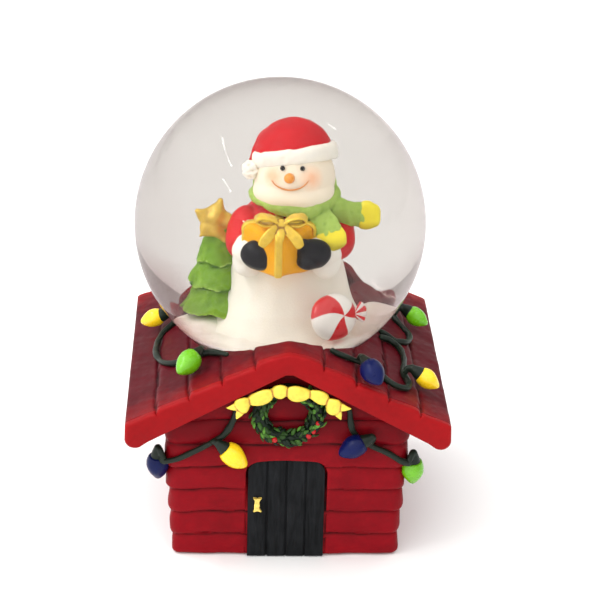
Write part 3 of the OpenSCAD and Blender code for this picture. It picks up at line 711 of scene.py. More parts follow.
def make_walls(tools):
    """Hollow walls with wavy lapped siding, a gable under the roof and a recess for the door."""
    half_w, half_d = (WALL_HI[0] - WALL_LO[0]) / 2 - 0.5, (WALL_HI[1] - WALL_LO[1]) / 2 - 0.5
    outline = np.array(rounded_rect(2 * half_w, 2 * half_d, 4.5, 8, 110))
    out = outline - np.roll(outline, 1, 0)
    out = out + np.roll(out, -1, 0)
    out /= np.linalg.norm(out, axis=1)[:, None]
    out = np.stack([out[:, 1], -out[:, 0]], 1)
    eave = under_z(half_w) - 0.6
    low = list(np.arange(0, eave, 0.45)) + [eave]
    rings = []
    gable = 60
    for k in range(len(low) + gable):
        if k < len(low):
            z = np.full(len(outline), low[k])
        else:
            top = under_z(0) + 1.0 - UNDER_SLOPE * np.abs(outline[:, 0])
            z = eave + (top - eave) * (k - len(low) + 1) / gable
        here = np.column_stack([outline, z])
        wave = 0.45 * ripple(here * [1, 1, 0], 16,
            3) + 0.25 * ripple(here * [1, 1, 0] + 50 * np.floor(z / COURSE_H)[:, None], 7, 4)
        t = ((z + wave) / COURSE_H) % 1
        course = np.clip((z + wave) // COURSE_H, 0, 7)
        groove = 1 - np.abs(2 * t - 1) ** 5
        below_eave = FULL_COURSES - np.minimum(course, FULL_COURSES)
        offset = 0.95 * groove + 0.4 * (1 - t) - 0.5 * below_eave - 0.55
        offset += 0.24 * ripple(here + 31 * course[:, None], 9, 5) + 0.06 * ripple(here, 2.5, 6)
        offset -= 0.5 * np.clip(1.6 - z, 0, 2) ** 2
        rings.append(np.column_stack([outline + out * offset[:, None], np.maximum(z, 0.05)]))
    walls = mesh_object("walls", ring_grid(rings))
    cavity = np.array(rounded_rect(68, 80, 4, 6))
    hollow = mesh_object("hollow_tool",
        ring_grid([np.column_stack([cavity, np.full(len(cavity), z)]) for z in (-1, 47.5)]))
    bosses = [
        mesh_object("boss_tool", lathe([(5, COVER_TOP), (5, 60)], (x, y, 0), 32, closed_ends=True))
        for x in (-30.6, 30.6) for y in (-36.6, 36.6)]
    cut(hollow, *bosses)
    recess = mesh_object("recess_tool", plate(door_outline(DOOR_W, DOOR_H, 0.8), 6, 0.3))
    recess.data.transform(Matrix.Translation((0, (DOOR_HI[1] - 6) * MM, -1.0 * MM)))
    cut(walls, hollow, recess, *tools)
    drop([hollow, recess] + bosses)
    # The darker colour is painted shade in the hollows, and the lightest red below is a painted highlight on
    # the edges.
    crimson, shade_colour = (0.20, 0.0015, 0.006), (0.016, 0.0005, 0.001)

    def shade_under_roof(t, colour):
        """Painted shade darkens the wall up under the overhang, and painted highlights warm it in patches
        where the light catches it.
        """
        z = t.axis(2)
        colour = t.mix(t.ramp(z, 36 * MM, 52 * MM, 0.0, 0.55), colour, (0.08, 0.001, 0.004))
        return t.mix(t.ramp(t.noise(7, 3.0), 0.55, 0.75, 0.0, 0.5), colour, (0.25, 0.003, 0.007))

    paint = painted("wall_paint", crimson, shade_colour, (0.27, 0.004, 0.008), rough=0.5, coat=0.02, vary=0.2,
        bump=0.07, tone=shade_under_roof, gloss=0.08)
    finish(walls, paint, ["house_walls"], hollows=(4, 1.6))


def roof_outline_at(y):
    """One closed section of the roof at this depth, as (x, z) points anticlockwise from the left eave."""
    count = 200
    xs = np.linspace(-HALF_W + 0.2, HALF_W - 0.2, count)
    here = np.column_stack([np.zeros(count), np.full(count, y), np.zeros(count)])
    wave = 0.35 * ripple(here, 14, 8) + 0.2 * ripple(here, 5, 9)
    lane = (np.abs(xs) + wave * np.sign(np.abs(xs) - 4)) / (HALF_W / BOARDS)
    board = np.clip(np.floor(lane), 0, BOARDS - 1)
    t = np.clip(lane - board, 0, 1)
    lap = 1.15 * t - 0.75 * np.exp(-(((t - 0.03) / 0.05) ** 2)) - 0.35 * np.exp(-(((1 - t) / 0.05) ** 2))
    lap *= np.where(board == 0, np.clip(np.abs(xs) / 5, 0, 1) ** 2, 1)
    z = RIDGE_Z - SLOPE * np.sqrt(xs**2 + 5) + lap
    bumps = np.column_stack([xs + 40 * board, np.full(count, y), z])
    z = z + 0.16 * ripple(bumps, 7, 10) + 0.05 * ripple(bumps, 2.2, 11)
    top = list(zip(xs, z))
    r = 3.2
    tip = EAVE_Z - 4.2
    right = arc((HALF_W - r, tip), r, 8, -115, 9)
    left = arc((r - HALF_W, tip), r, 295, 172, 9)
    under = [(x, under_z(x)) for x in np.linspace(HALF_W - 7, 7 - HALF_W, 40)]
    return np.array(top[::-1] + left[::-1] + under[::-1] + right[::-1])


def make_roof(tools):
    """Lapped boards from the ridge to the eaves, with a hollow for the globe."""
    ys = np.linspace(-HALF_D + 2.6, HALF_D - 2.6, 150)
    rings = []
    for y in ys:
        s = roof_outline_at(y)
        rings.append(np.column_stack([s[:, 0], np.full(len(s), y), s[:, 1]]))
    roof = mesh_object("roof_boards", ring_grid(rings))
    cut(roof, *tools)
    # The darkest colour is painted shade in the hollows; the paint below also gets a lighter red as painted
    # highlight on the edges.
    burgundy, shade_colour, bright = (0.082, 0.0035, 0.008), (0.006, 0.0005, 0.001), (0.22, 0.003, 0.005)

    def board_ends(t, colour):
        """Bright red brushed over the board ends above the front and back fascia."""
        y = t.math("ABSOLUTE", t.axis(1))
        reach = t.math("ADD", y, t.ramp(t.noise(6, 3.0), 0.3, 0.7, -5 * MM, 5 * MM))
        colour = t.mix(t.ramp(reach, 36 * MM, 51 * MM, 0.0, 0.8), colour, bright)
        streak = t.noise(5, 3.0, 0.6, t.stretch((1, 0.18, 1)))
        return t.mix(t.ramp(streak, 0.55, 0.8, 0.0, 0.45), colour, (0.13, 0.008, 0.012))

    paint = painted("roof_paint", burgundy, shade_colour, (0.14, 0.012, 0.018), rough=0.5, coat=0.02, vary=0.2,
        bump=0.06, tone=board_ends, gloss=0.09)
    finish(roof, paint, ["roof"], hollows=(3, 1.5))


def make_fascia():
    """The red end boards of both gables, rounded on their outer edges."""
    parts, bevel, depth = [], 1.1, 2.7
    for face in (-1, 1):
        rings = []
        s = roof_outline_at(face * (HALF_D - 1))
        above = np.sign(s[:, 1] - (under_z(s[:, 0]) + 4))
        for a in np.linspace(0, math.pi / 2, 5):
            inset = bevel * (1 - math.sin(a))
            y = face * (HALF_D - bevel * (1 - math.cos(a)))
            x, z = s[:, 0] * (1 - inset / HALF_W), s[:, 1] - inset * 0.8 * above
            rings.append(np.column_stack([x, np.full(len(s), y), z]))
        for back in np.linspace(1.6, depth, 4):
            rings.append(np.column_stack([s[:, 0], np.full(len(s), face * (HALF_D - back)), s[:, 1]]))
        if face > 0:
            rings = rings[::-1]
        parts.append(ring_grid(rings))
    fascia = mesh_object("fascia", join(parts), sharp=60)
    # The darker colour is painted shade in the hollows, and the paint below adds a lighter red as painted
    # highlight on the edges.
    red, shade_colour = (0.27, 0.003, 0.005), (0.025, 0.0005, 0.001)
    paint = painted("fascia_paint", red, shade_colour, (0.33, 0.008, 0.010), rough=0.48, coat=0.02, vary=0.18,
        bump=0.07, gloss=0.09)
    finish(fascia, paint, ["fascia_boards"], hollows=(2, 1.2))


def make_door():
    """Four planks on a backing board."""
    w, planks = DOOR_W, 4
    full = np.array(door_outline(w, DOOR_H))
    parts = []
    gap = 0.32
    for i in range(planks):
        x0 = -w / 2 + w * i / planks + gap * (i > 0)
        x1 = -w / 2 + w * (i + 1) / planks - gap * (i < planks - 1)
        head = [p for p in full[2:] if x0 < p[0] < x1]
        ends = [(x, np.interp(x, full[2:, 0][::-1], full[2:, 1][::-1])) for x in (x1, x0)]
        if i == 0:
            ends[1] = (x0, full[-1][1])
        if i == planks - 1:
            ends[0] = (x1, full[2][1])
        outline = [(x0, 0.4), (x1, 0.4), ends[0]] + [tuple(p) for p in head] + [ends[1]]
        keep = [outline[0]]
        for p in outline[1:]:
            if math.dist(p, keep[-1]) > 0.05:
                keep.append(p)
        parts.append(plate(keep, 1.9, 0.35))
    backing = plate([(x * 0.985, z * 0.985 + 0.3) for x, z in full], 1.1, 0.1)
    parts.append((backing[0] + [0, 0.75, 0], backing[1]))
    door = mesh_object("door_planks", join(parts), sharp=35)
    door.data.transform(Matrix.Translation((0, (DOOR_LO[1] + 0.9) * MM, 0)))
    t = Tree("door_paint")
    grain = t.noise(1.4, 5.0, 0.6, t.stretch((1, 1, 0.12)), 0.6)
    colour = t.mix(t.ramp(grain, 0.35, 0.7), (0.004, 0.0045, 0.005), (0.013, 0.014, 0.016))
    colour = t.mix(t.ramp(t.noise(9, 2.0), 0.5, 0.8, 0, 0.5), colour, (0.020, 0.021, 0.023))
    t.surface(colour, t.ramp(grain, 0.3, 0.7, 0.38, 0.6), t.bump(grain, 0.12), Specular_IOR_Level=0.06,
        Coat_Weight=0.01, Coat_Roughness=0.3)
    finish(door, t.mat, ["door"])


def gold_paint(name, base, shade_colour=(0.30, 0.12, 0.01)):
    """Gold paint with brown painted shade in the creases and painted highlights on the proud edges."""
    rough = 0.34
    t = Tree(name)
    fine = t.noise(1.6, 4.0)
    colour = t.mix(t.ramp(fine, 0.35, 0.7), shade(base, 0.85), shade(base, 1.12))
    colour = t.mix(t.math("MULTIPLY", t.attribute("hollow_shade"), 0.9), colour, shade_colour)
    colour = t.mix(t.math("MULTIPLY", t.attribute("edge"), 0.5), colour, shade(base, 1.35))
    t.surface(colour, t.ramp(fine, 0.3, 0.7, rough - 0.06, rough + 0.1), t.bump(t.noise(0.9), 0.04),
              Metallic=0.25, Coat_Weight=0.2, Coat_Roughness=0.2)
    return t.mat


def make_handle():
    """A flat pull, narrow in the middle, with notched ends."""
    at = middle("door_handle")
    zs = np.linspace(-2.7, 2.7, 21)
    half = [0.58 + 1.0 * abs(z / 2.7) ** 2.4 for z in zs]
    left, right = [(-h, z) for h, z in zip(half, zs)], [(h, z) for h, z in zip(half, zs)]
    outline = left[::-1] + [(0, -2.35)] + right + [(0, 2.35)]
    handle = fuse("door_pull", [plate(outline, 1.5, 0.4), ball((0, 0.3, 0), (0.9, 0.7, 1.1), 20)], 0.16, 2)
    handle.data.transform(Matrix.Translation((at[0] * MM, (DOOR_LO[1] - 1.3) * MM, at[2] * MM)))
    finish(handle, gold_paint("handle_gold", (0.85, 0.60, 0.12)), ["door_handle"],
        hollows=(2, 0.5))


def leaf(at, along, out, length, width):
    """A small pointed leaf with a raised middle."""
    along = np.array(along) / np.linalg.norm(along)
    side = np.cross(along, out)
    side /= np.linalg.norm(side)
    rise = np.cross(side, along)
    angles = np.arange(10) * TAU / 10
    rings = []
    for q in np.linspace(0, 1, 9):
        w = width * math.sin(math.pi * q) ** 0.75 + 0.02
        h = 0.34 * math.sin(math.pi * q) ** 0.5 + 0.02
        centre = np.array(at) + along * length * (q - 0.3) + rise * (0.5 * math.sin(math.pi * q * 0.8))
        c, s = np.cos(angles), np.sin(angles)
        lift = s * h - 0.3 * c**2 * w / 2
        rings.append(centre + np.outer(c * w / 2, side) + np.outer(lift, rise))
    return ring_grid(rings)


def make_wreath():
    """A ring of small leaves in four greens, with red berries."""
    lo, hi = box("wreath")
    centre = np.array([(lo[0] + hi[0]) / 2, hi[1] - 2.2, (lo[2] + hi[2]) / 2 - 1.4])
    ring_r, tube_r = np.array([9.7, 1, 8.9]), 2.3
    rng = np.random.default_rng(5)
    leaves, tints = [], []
    angles = np.linspace(0, TAU, 73)[:-1]
    circle = np.array([[math.cos(a), 0, math.sin(a)] for a in angles])
    rings = []
    for a, d in zip(angles, circle):
        turn = np.arange(18) * TAU / 18
        rings.append(
            centre + d * ring_r + tube_r * (np.outer(np.cos(turn), d) + np.outer(np.sin(turn), [0, 1, 0])))
    rows, cols = len(rings), len(rings[0])
    faces = []
    for r in range(rows):
        for c in range(cols):
            here, there, right = r * cols, (r + 1) % rows * cols, (c + 1) % cols
            faces.append([here + c, here + right, there + right, there + c])
    core = (np.vstack(rings), faces)
    tints.append(np.zeros(len(core[0])))
    for i in range(150):
        a = TAU * i / 150 * 7.03 + rng.uniform(-0.1, 0.1)
        b = rng.uniform(-1.7, 1.7)
        d = np.array([math.cos(a), 0, math.sin(a)])
        if centre[2] + d[2] * ring_r[2] + tube_r > 66.5:
            continue
        tangent = np.array([-math.sin(a), 0, math.cos(a)])
        out = d * math.sin(b) + np.array([0, -1, 0]) * math.cos(b)
        along = tangent * rng.uniform(0.6, 1.2) + np.cross(out, tangent) * rng.uniform(-1.0,
            1.0) + out * rng.uniform(0.1, 0.6)
        piece = leaf(centre + d * ring_r + out * tube_r * 0.95, along, out, rng.uniform(2.6, 3.9),
            rng.uniform(1.2, 1.8))
        leaves.append(piece)
        tints.append(np.full(len(piece[0]), rng.choice([0.0, 0.2, 0.45, 1.0], p=[0.3, 0.25, 0.25, 0.2])))
    verts, faces = join([core] + leaves)
    verts[:, 1] = np.minimum(verts[:, 1], WALL_LO[1] + 0.9)
    mesh = bpy.data.meshes.new("wreath_leaves")
    mesh.from_pydata((verts * MM).tolist(), [], faces)
    obj = bpy.data.objects.new("wreath_leaves", mesh)
    bpy.context.scene.collection.objects.link(obj)
    mesh.polygons.foreach_set("use_smooth", [True] * len(mesh.polygons))
    layer = mesh.attributes.new("tint", "FLOAT", "POINT")
    layer.data.foreach_set("value", np.concatenate(tints).astype(np.float32))
    t = Tree("wreath_paint")
    speck = t.noise(0.9, 3.0)
    light = t.math("MULTIPLY", t.attribute("tint"), t.ramp(speck, 0.3, 0.6, 0.5, 1.0), clamp=True)
    colour = t.mix(light, (0.004, 0.012, 0.005), (0.09, 0.24, 0.03))
    t.surface(colour, t.ramp(speck, 0.3, 0.7, 0.4, 0.6), t.bump(speck, 0.06), Specular_IOR_Level=0.2)
    finish(obj, t.mat, ["wreath"])
    berries = []
    for degrees in (-12, -33, -47, -116):
        d = np.array([math.cos(math.radians(degrees)), 0, math.sin(math.radians(degrees))])
        at = centre + d * (ring_r + 0.3) + [0, -tube_r - 0.6, 0]
        berries.append(ball(at, rng.uniform(0.7, 1.0), 24))
    fruit = mesh_object("berries", join(berries))
    lumps(fruit, (1.2, 0.05, 71))
    finish(fruit, painted("berry_paint", (0.40, 0.008, 0.010), rough=0.35, coat=0.15, bump=0.03),
        ["wreath_berries"])


def make_ribbon():
    """A puffed garland over the wreath, with a forked tail at each end."""
    lo, hi = box("wreath_ribbon")
    chord, rise = hi[0] - 1.2, hi[2] - lo[2] - 5.0
    r = (chord**2 + rise**2) / (2 * rise)
    centre_z = hi[2] - 2.6 - r
    half = math.asin(min(1, chord / r))
    y0 = (lo[1] + hi[1]) / 2 + 0.2
    stations = 61
    points, widths, heights = [], [], []
    for s in np.linspace(0.055, 0.945, stations):
        a = math.pi / 2 + half - 2 * half * s
        turn = 6 * s + 0.16 * math.sin(TAU * 2.3 * s)
        puff = abs(math.sin(math.pi * turn)) ** 0.6 * (1.0 + 0.22 * math.sin(2.7 * math.floor(turn) + 0.6))
        points.append(
            [r * math.cos(a), y0 - 0.9 * puff + 0.5,
                centre_z + r * math.sin(a) + 0.35 * math.sin(TAU * 3 * s)])
        widths.append(1.25 + 1.45 * puff)
        heights.append(0.55 + 0.75 * puff)
    parts = [sweep(points, heights, widths, 150, 20, up=(0, 0, 1))]
    for side in (-1, 1):
        s = 0.055 if side < 0 else 0.945
        a = math.pi / 2 + half - 2 * half * s
        at = np.array([r * math.cos(a), y0 - 0.1, centre_z + r * math.sin(a)])
        along = np.array([side * abs(math.sin(a)), 0, -abs(math.cos(a))])
        across = np.array([-along[2] * side, 0, along[0] * side])
        for k in (-1, 1):
            parts.append(sweep(
                [at - along * 0.6 + across * k * 0.5, at + along * 1.6 + across * k * 1.4 + [0, -0.35, 0],
                    at + along * 3.7 + across * k * 2.5],
                [0.75, 0.7, 0.3], [1.5, 1.3, 0.35], 20, 14, up=tuple(across)))
        parts.append(ball(at, (1.0, 1.1, 1.9), 20))
    ribbon = fuse("ribbon", parts, 0.26, 2)
    finish(ribbon, gold_paint("ribbon_gold", (0.86, 0.62, 0.06), (0.34, 0.12, 0.005)),
        ["wreath_ribbon"], hollows=(2, 1.8))


# ---------------------------------------------------------------- light string

# Points chosen: the front strands hang on the wall, and the roof strands are (x, y) on the boards
FRONT_WIRES = [
    [(-17.2, -46.2, 58.5), (-18.2, -46.3, 54), (-19.6, -46.3, 50.8), (-22.5, -46.2, 47.6),
        (-27.5, -46.1, 44.2),
     (-32.5, -46.0, 41.3), (-37.5, -45.8, 38.8), (-41.0, -45.0, 37.4), (-42.4, -42.6, 37.8)],
    [(20.2, -46.2, 58), (20.7, -46.3, 54.5), (21.9, -46.3, 50.2), (25, -46.2, 46.6), (29, -46.1, 44.2),
     (33, -46.0, 42.2), (38, -45.8, 39.0), (41.0, -45.0, 37.2), (42.2, -42.6, 37.2)]]
ROOF_WIRES = [
    [(-36.5, 14), (-40.5, 9), (-44, 3), (-45, -6), (-43.5, -15), (-40.6, -21), (-37, -24), (-32, -25.5),
        (-27, -26.5), (-24, -30), (-20.5, -35)],
    [(14.5, -38), (20, -38.2), (24, -36.6), (28, -37.5), (32, -40.5), (36, -41.6), (39.6, -39), (40.4, -34),
        (39.2, -26), (40.4, -16), (39, -9), (36, -6.5), (33, -7.5)],
    [(39.5, 25), (40, 15), (44, 7), (43, 0), (39, -3.5), (36, -2.5), (33.4, -2.4)]]
# colour, centre, place that the socket points to, place where its lead joins the wire
BULBS = [
    ("yellow", (-18.3, -49.0, 42.4), (-22.4, -48.4, 45.8), (-25.0, -46.4, 45.9)),
    ("blue", (-43.4, -41.4, 34.9), (-43.3, -42.2, 41), (-41.4, -44.6, 38.6)),
    ("blue", (22.3, -49.0, 46.0), (26.6, -48.6, 48.4), (27.4, -46.4, 45.6)),
    ("green", (42.7, -41.6, 33.6), (42.6, -42.4, 40), (41.0, -44.8, 38.4)),
    ("yellow", (-46.6, 13, 63.4), (-42.5, 12.6, 65.2), (-39.4, 10.4, 64.4)),
    ("green", (-33, -37, 70.9), (-28.6, -31, 73.4), (-29.6, -26.6, 70.4)),
    ("blue", (27, -48.6, 73.7), (24.5, -43.5, 75.6), (23.6, -37.6, 73.2)),
    ("yellow", (47.2, -31.8, 62.4), (43.4, -30.6, 64.8), (39.8, -30, 64.4)),
    ("green", (47.4, 16.6, 63), (42.6, 19, 65.5), (39.9, 17, 64.6))]
BULB_PROFILE = [(0, -6.1), (0.55, -5.95), (1.3, -5.4), (2.1, -4.4), (2.95, -3.1), (3.55, -1.6), (3.8, -0.1),
    (3.72, 1.3), (3.3, 2.5), (2.7, 3.2), (0, 3.3)]


# The bulbs at the outer edges of the roof are smaller than the others
OUTER_BULB_X = 46
SMALL_BULB = 0.84


def roof_route(route):
    """Lays a route on the roof, just proud of the boards."""
    return [(x, y, roof_z(x) + 1.75) for x, y in route]


def make_lights():
    """Twisted wires, sockets with their leads, and the bulbs by colour."""
    front, roof = [], []
    for routes, parts in ((FRONT_WIRES, front), ([roof_route(r) for r in ROOF_WIRES], roof)):
        for route in routes:
            line = spline(route, 10 * len(route))
            strand = line + 0.16 * np.column_stack(
                [ripple(line, 5, 21), ripple(line, 5, 22), ripple(line, 5, 23)])
            parts.append(sweep(strand, 1.08 + 0.12 * ripple(line, 4, 24), count=len(line) * 2, sides=16))
    sockets = []
    for _, at, to, joint in BULBS:
        at, joint = np.array(at), np.array(joint)
        d = unit(to, at)
        sockets.append(
            sweep([at + d * 2.6, at + d * 3.2, at + d * 4.6, at + d * 6.4], [2.25, 2.45, 2.1, 1.4], count=18,
                sides=24))
        sockets.append(
            sweep([at + d * 5.4, at + d * 7.4 + (joint - at - d * 7.4) * 0.3, joint], [1.35, 1.15, 1.05],
                count=20, sides=16))
    green = painted("wire_paint", (0.007, 0.013, 0.008), (0.001, 0.002, 0.001), (0.02, 0.035, 0.02),
        rough=0.42, coat=0.05, vary=0.3, bump=0.05, gloss=0.2)
    finish(fuse("front_wires", front, 0.3, 2), green, ["front_light_wires"], hollows=(2, 0.7))
    finish(fuse("roof_wires", roof, 0.3, 2), green, ["roof_light_wires"], hollows=(2, 0.7))
    finish(fuse("sockets", sockets, 0.3, 2), green, ["bulb_sockets"], hollows=(2, 0.7))
    paints = {
        "yellow": painted("yellow_bulb", (0.93, 0.62, 0.012), rough=0.25, coat=0.2, vary=0.1, bump=0.05,
            gloss=0.4),
        "green": painted("green_bulb", (0.13, 0.42, 0.006), rough=0.25, coat=0.2, vary=0.16, bump=0.05,
            gloss=0.4),
        "blue": painted("blue_bulb", (0.002, 0.006, 0.060), rough=0.32, coat=0.04, vary=0.3, bump=0.05,
            gloss=0.14)}
    for colour, mat in paints.items():
        parts = []
        for c, at, to, _ in BULBS:
            if c == colour:
                size = SMALL_BULB if abs(at[0]) > OUTER_BULB_X else 1.0
                profile = spline(BULB_PROFILE, 40) * size
                parts.append(
                    lathe(profile, np.array(at) + (1 - size) * 2.5 * unit(to, at), 48,
                        facing(np.array(to) - np.array(at))))
        obj = mesh_object(colour + "_lamps", join(parts))
        lumps(obj, (4, 0.1, 25), (1.8, 0.04, 26))
        finish(obj, mat, [colour + "_bulbs"])


# ---------------------------------------------------------------- globe


def rim_angle(ball_r, ring_r):
    """The angle from the top of a ball down to the ring of this radius near its bottom."""
    return math.acos(-math.sqrt(ball_r**2 - ring_r**2) / ball_r)


def globe_arc(r, start, end):
    """Points on the globe's section between two angles from its top."""
    return [(r * math.sin(a), GLOBE[2] + r * math.cos(a)) for a in np.linspace(start, end, 150)]


def make_globe():
    """The glass with its neck, and the water, whose skin lies just inside the outer face of the glass so
    that light bends once."""
    outer, inner, neck_lo = GLOBE_R, INNER_R + 0.05, GLASS_LO[2]
    lip_r = NECK_R + 0.5
    neck_top = GLOBE[2] - math.sqrt(outer**2 - NECK_R**2)
    up = [(BORE_R, neck_lo), (lip_r, neck_lo), (lip_r, neck_lo + 1.6), (NECK_R, neck_lo + 2.4),
        (NECK_R, neck_top - 0.6)]
    up += globe_arc(outer, rim_angle(outer, NECK_R), 0)
    down = globe_arc(inner, 0, rim_angle(inner, BORE_R)) + [(BORE_R, neck_lo)]
    glass = mesh_object("glass_shell", lathe(up + down, (GLOBE[0], GLOBE[1], 0), 256), sharp=35)
    # The glass's grey tint is painted shade over what shows through it, and its mauve rim is a painted view
    # of the red house.
    finish(glass, clear("glass", (0.77, 0.76, 0.75), (0.30, 0.20, 0.23), 1.06),
        ["glass_globe"])
    skin_r, seat_r = outer - 0.25, BORE_R + 0.7
    profile = [(0, SEAT_Z), (seat_r, SEAT_Z)] + globe_arc(skin_r, rim_angle(skin_r, seat_r), 0)
    water = mesh_object("clear_liquid", lathe(profile, (GLOBE[0], GLOBE[1], 0), 256), sharp=35)
    # The water's grey tint and pink rim are painted in the same way.
    finish(water, clear("liquid", (0.84, 0.82, 0.80), (0.62, 0.54, 0.55), 1.333), ["water"])


SNOW = (0.86, 0.82, 0.72)


def snow_paint(name, base=SNOW, hollow=(0.62, 0.52, 0.38), bump=0.06, tone=None):
    t = Tree(name)
    fine = t.noise(1.3, 4.0)
    colour = t.mix(t.ramp(t.noise(9, 3.0), 0.3, 0.7), shade(base, 0.96), shade(base, 1.05))
    if tone:
        colour = tone(t, colour)
    # Painted shade: the hollows darken towards the hollow colour.
    colour = t.mix(t.math("MULTIPLY", t.attribute("hollow_shade"), 0.55), colour, hollow)
    node = t.surface(colour, t.ramp(fine, 0.3, 0.7, 0.5, 0.7),
        t.bump(t.math("ADD", t.noise(0.6), fine), bump), Specular_IOR_Level=0.25)
    node.inputs["Subsurface Weight"].default_value = 0.12
    node.inputs["Subsurface Radius"].default_value = (1.0, 0.8, 0.6)
    node.inputs["Subsurface Scale"].default_value = 0.8 * MM
    return t.mat


def make_snow():
    """The drifted ground under the figure, and flakes settled in the groove round it."""
    edge_r = (GROUND_HI[0] - GROUND_LO[0]) / 2
    rise_z = GROUND_HI[2]
    profile = [(0, GROUND_LO[2] - 1.5), (edge_r, GROUND_LO[2] - 1.5), (edge_r, 68.5), (edge_r + 1.8, 70.6),
        (edge_r + 0.6, 72.2)]
    for r in np.linspace(edge_r - 1.6, 0, 40):
        profile.append((r, 72.6 + (rise_z - 72.6) * (1 - (r / edge_r) ** 2) ** 1.2))
    drifts = [
        ((-16, -6, 71.5), (11, 10, 5.5)), ((14, -10, 72), (13, 11, 5)), ((20.5, 4, 75.5), (9.5, 14, 7.0)),
        ((27, 1, 74.0), (6.0, 12, 5.6)), ((-18.5, 4, 75.0), (10.5, 9.5, 5.6)), ((0, -16, 71.5), (13, 8, 4.5)),
        ((2, 17, 73), (14, 8, 6))]
    mound = lathe(spline(profile, 160), (GLOBE[0], GLOBE[1], 0), 128)
    ground = fuse("snow_mound", [mound] + [ball(at, radii) for at, radii in drifts], 0.5, 8)
    lumps(ground, (9, 0.35, 31), (3.2, 0.14, 32))
    finish(ground, snow_paint("ground_snow", (0.84, 0.80, 0.71)), ["snow_ground"],
        hollows=(4, 0.8))
    rng = np.random.default_rng(12)
    flakes = []
    for _ in range(900):
        a, r = rng.uniform(0, TAU), rng.uniform(edge_r + 0.4, edge_r + 4.6)
        floor = GLOBE[2] - math.sqrt((INNER_R - 0.3) ** 2 - r**2)
        z = floor + rng.uniform(0.1, 2.6) * (1 - (r - edge_r) / 7)
        turn = Matrix.Rotation(rng.uniform(0, math.pi), 3, rng.normal(size=3).tolist())
        size = rng.uniform(0.35, 0.7)
        at = (GLOBE[0] + r * math.cos(a), GLOBE[1] + r * math.sin(a), z)
        flakes.append(ball(at, (size, size * 0.9, 0.12), 8, turn))
    bed_profile = [(edge_r - 0.5, 67.2)]
    bed_r = np.linspace(edge_r, edge_r + 4.8, 12)
    bed_profile += [(r, GLOBE[2] - math.sqrt((INNER_R - 0.35) ** 2 - r**2)) for r in bed_r]
    bed_profile += [(r, 71.9 + 0.5 * (r - edge_r) / 4.8) for r in bed_r[::-1][1:]]
    bed_profile += [(edge_r - 0.5, 71.6), (edge_r - 0.5, 67.2)]
    bed = lathe(bed_profile, (GLOBE[0], GLOBE[1], 0), 160)
    loose = mesh_object("settled_flakes", join([bed] + flakes))
    finish(loose, snow_paint("flake_white", (0.88, 0.86, 0.81), bump=0.1), ["loose_snow"])


# ---------------------------------------------------------------- snowman

HEAD_R = 10.5
HEAD_AT = Vector((1.2, 0.5, 119.0))
TILT = Matrix.Rotation(math.radians(-25), 3, "X")
BODY = middle("snowman_body")


def in_head(x, y, z):
    """A point given in the tilted head's own axes."""
    return np.array(HEAD_AT + Vector(TILT @ Vector((x, y, z))))


def make_body():
    """The snow body, and the coat with its painted flakes. Returns the coat's red."""
    centre = (BODY[0], BODY[1], 0)
    profile = [(0, 71), (25.5, 71), (24.6, 73), (21.6, 75.6), (18.6, 78.6), (16.6, 82.5), (15.5, 87),
        (14.7, 91.5), (13.4, 97), (11.0, 101.5), (8, 104.5), (0, 106)]
    body = fuse("snow_body", [lathe(spline(profile, 120), centre, 96)], 0.4, 5)
    lumps(body, (12, 0.35, 41), (4, 0.1, 42))
    finish(body, snow_paint("body_snow"), ["snowman_body"], hollows=(4, 0.8))
    coat_profile = [(0, 96.5), (12.9, 96.5), (14.2, 97.6), (14.6, 100), (14.2, 103.5), (12.6, 107),
        (10, 110), (7.5, 112), (0, 113)]
    coat_centre = np.array([0.6, 3.4, 0])
    shoulders = [ball((-11.0, 1.2, 104.4), (4.8, 5.2, 5.2)), ball((11.8, 1.2, 104.2), (4.8, 5.2, 5.2))]
    coat = fuse("red_coat", [lathe(spline(coat_profile, 100), coat_centre, 96)] + shoulders, 0.35, 4)
    lumps(coat, (7, 0.25, 43), (2.6, 0.08, 44))
    red = painted("coat_paint", (0.62, 0.014, 0.018), (0.16, 0.003, 0.005), (0.72, 0.04, 0.04), rough=0.45,
        coat=0.05, vary=0.14, bump=0.06)
    finish(coat, red, ["snowman_coat"], hollows=(3, 0.7))
    flakes = []
    skin = BVHTree.FromPolygons([v.co[:] for v in coat.data.vertices],
        [p.vertices[:] for p in coat.data.polygons])
    spots = [(-15.6, -4.2, 106.0), (-12.6, -7.4, 108.6), (-16.8, -3.2, 101.4), (-9.6, -9.2, 110.2),
        (-14.2, 6.5, 107), (9, 13, 106), (-6, 16, 104), (1, 17, 109), (15.5, 7, 105)]
    for i, spot in enumerate(spots):
        hit, normal, _, _ = skin.find_nearest(Vector(spot) * MM)
        turn = normal.to_track_quat("Z", "Y").to_matrix()
        at = np.array(hit) / MM
        size = 1.25 if i % 2 else 1.0
        for k in range(3):
            a = math.pi * k / 3 + 0.3 * i
            d = np.array(turn @ Vector((math.cos(a), math.sin(a), 0)))
            flakes.append(
                sweep([at - d * size, at, at + d * size], [0.22, 0.26, 0.22], count=9, sides=8,
                    up=tuple(normal)))
    flake = mesh_object("coat_flakes", join(flakes))
    finish(flake, snow_paint("flake_paint", (0.88, 0.86, 0.82)))
    return red


ARMS = [
    # shoulder, elbow, wrist, middle of the mitten, side
    ((-12.0, 0.5, 104.0), (-12.8, -4.6, 102.0), (-10.7, -9.6, 101.4), (-9.2, -14.6, 102.2), -1),
    ((12.4, 0.5, 104.0), (12.8, -4.8, 102.2), (8.6, -10.4, 101.8), (6.1, -15.0, 102.8), 1)]


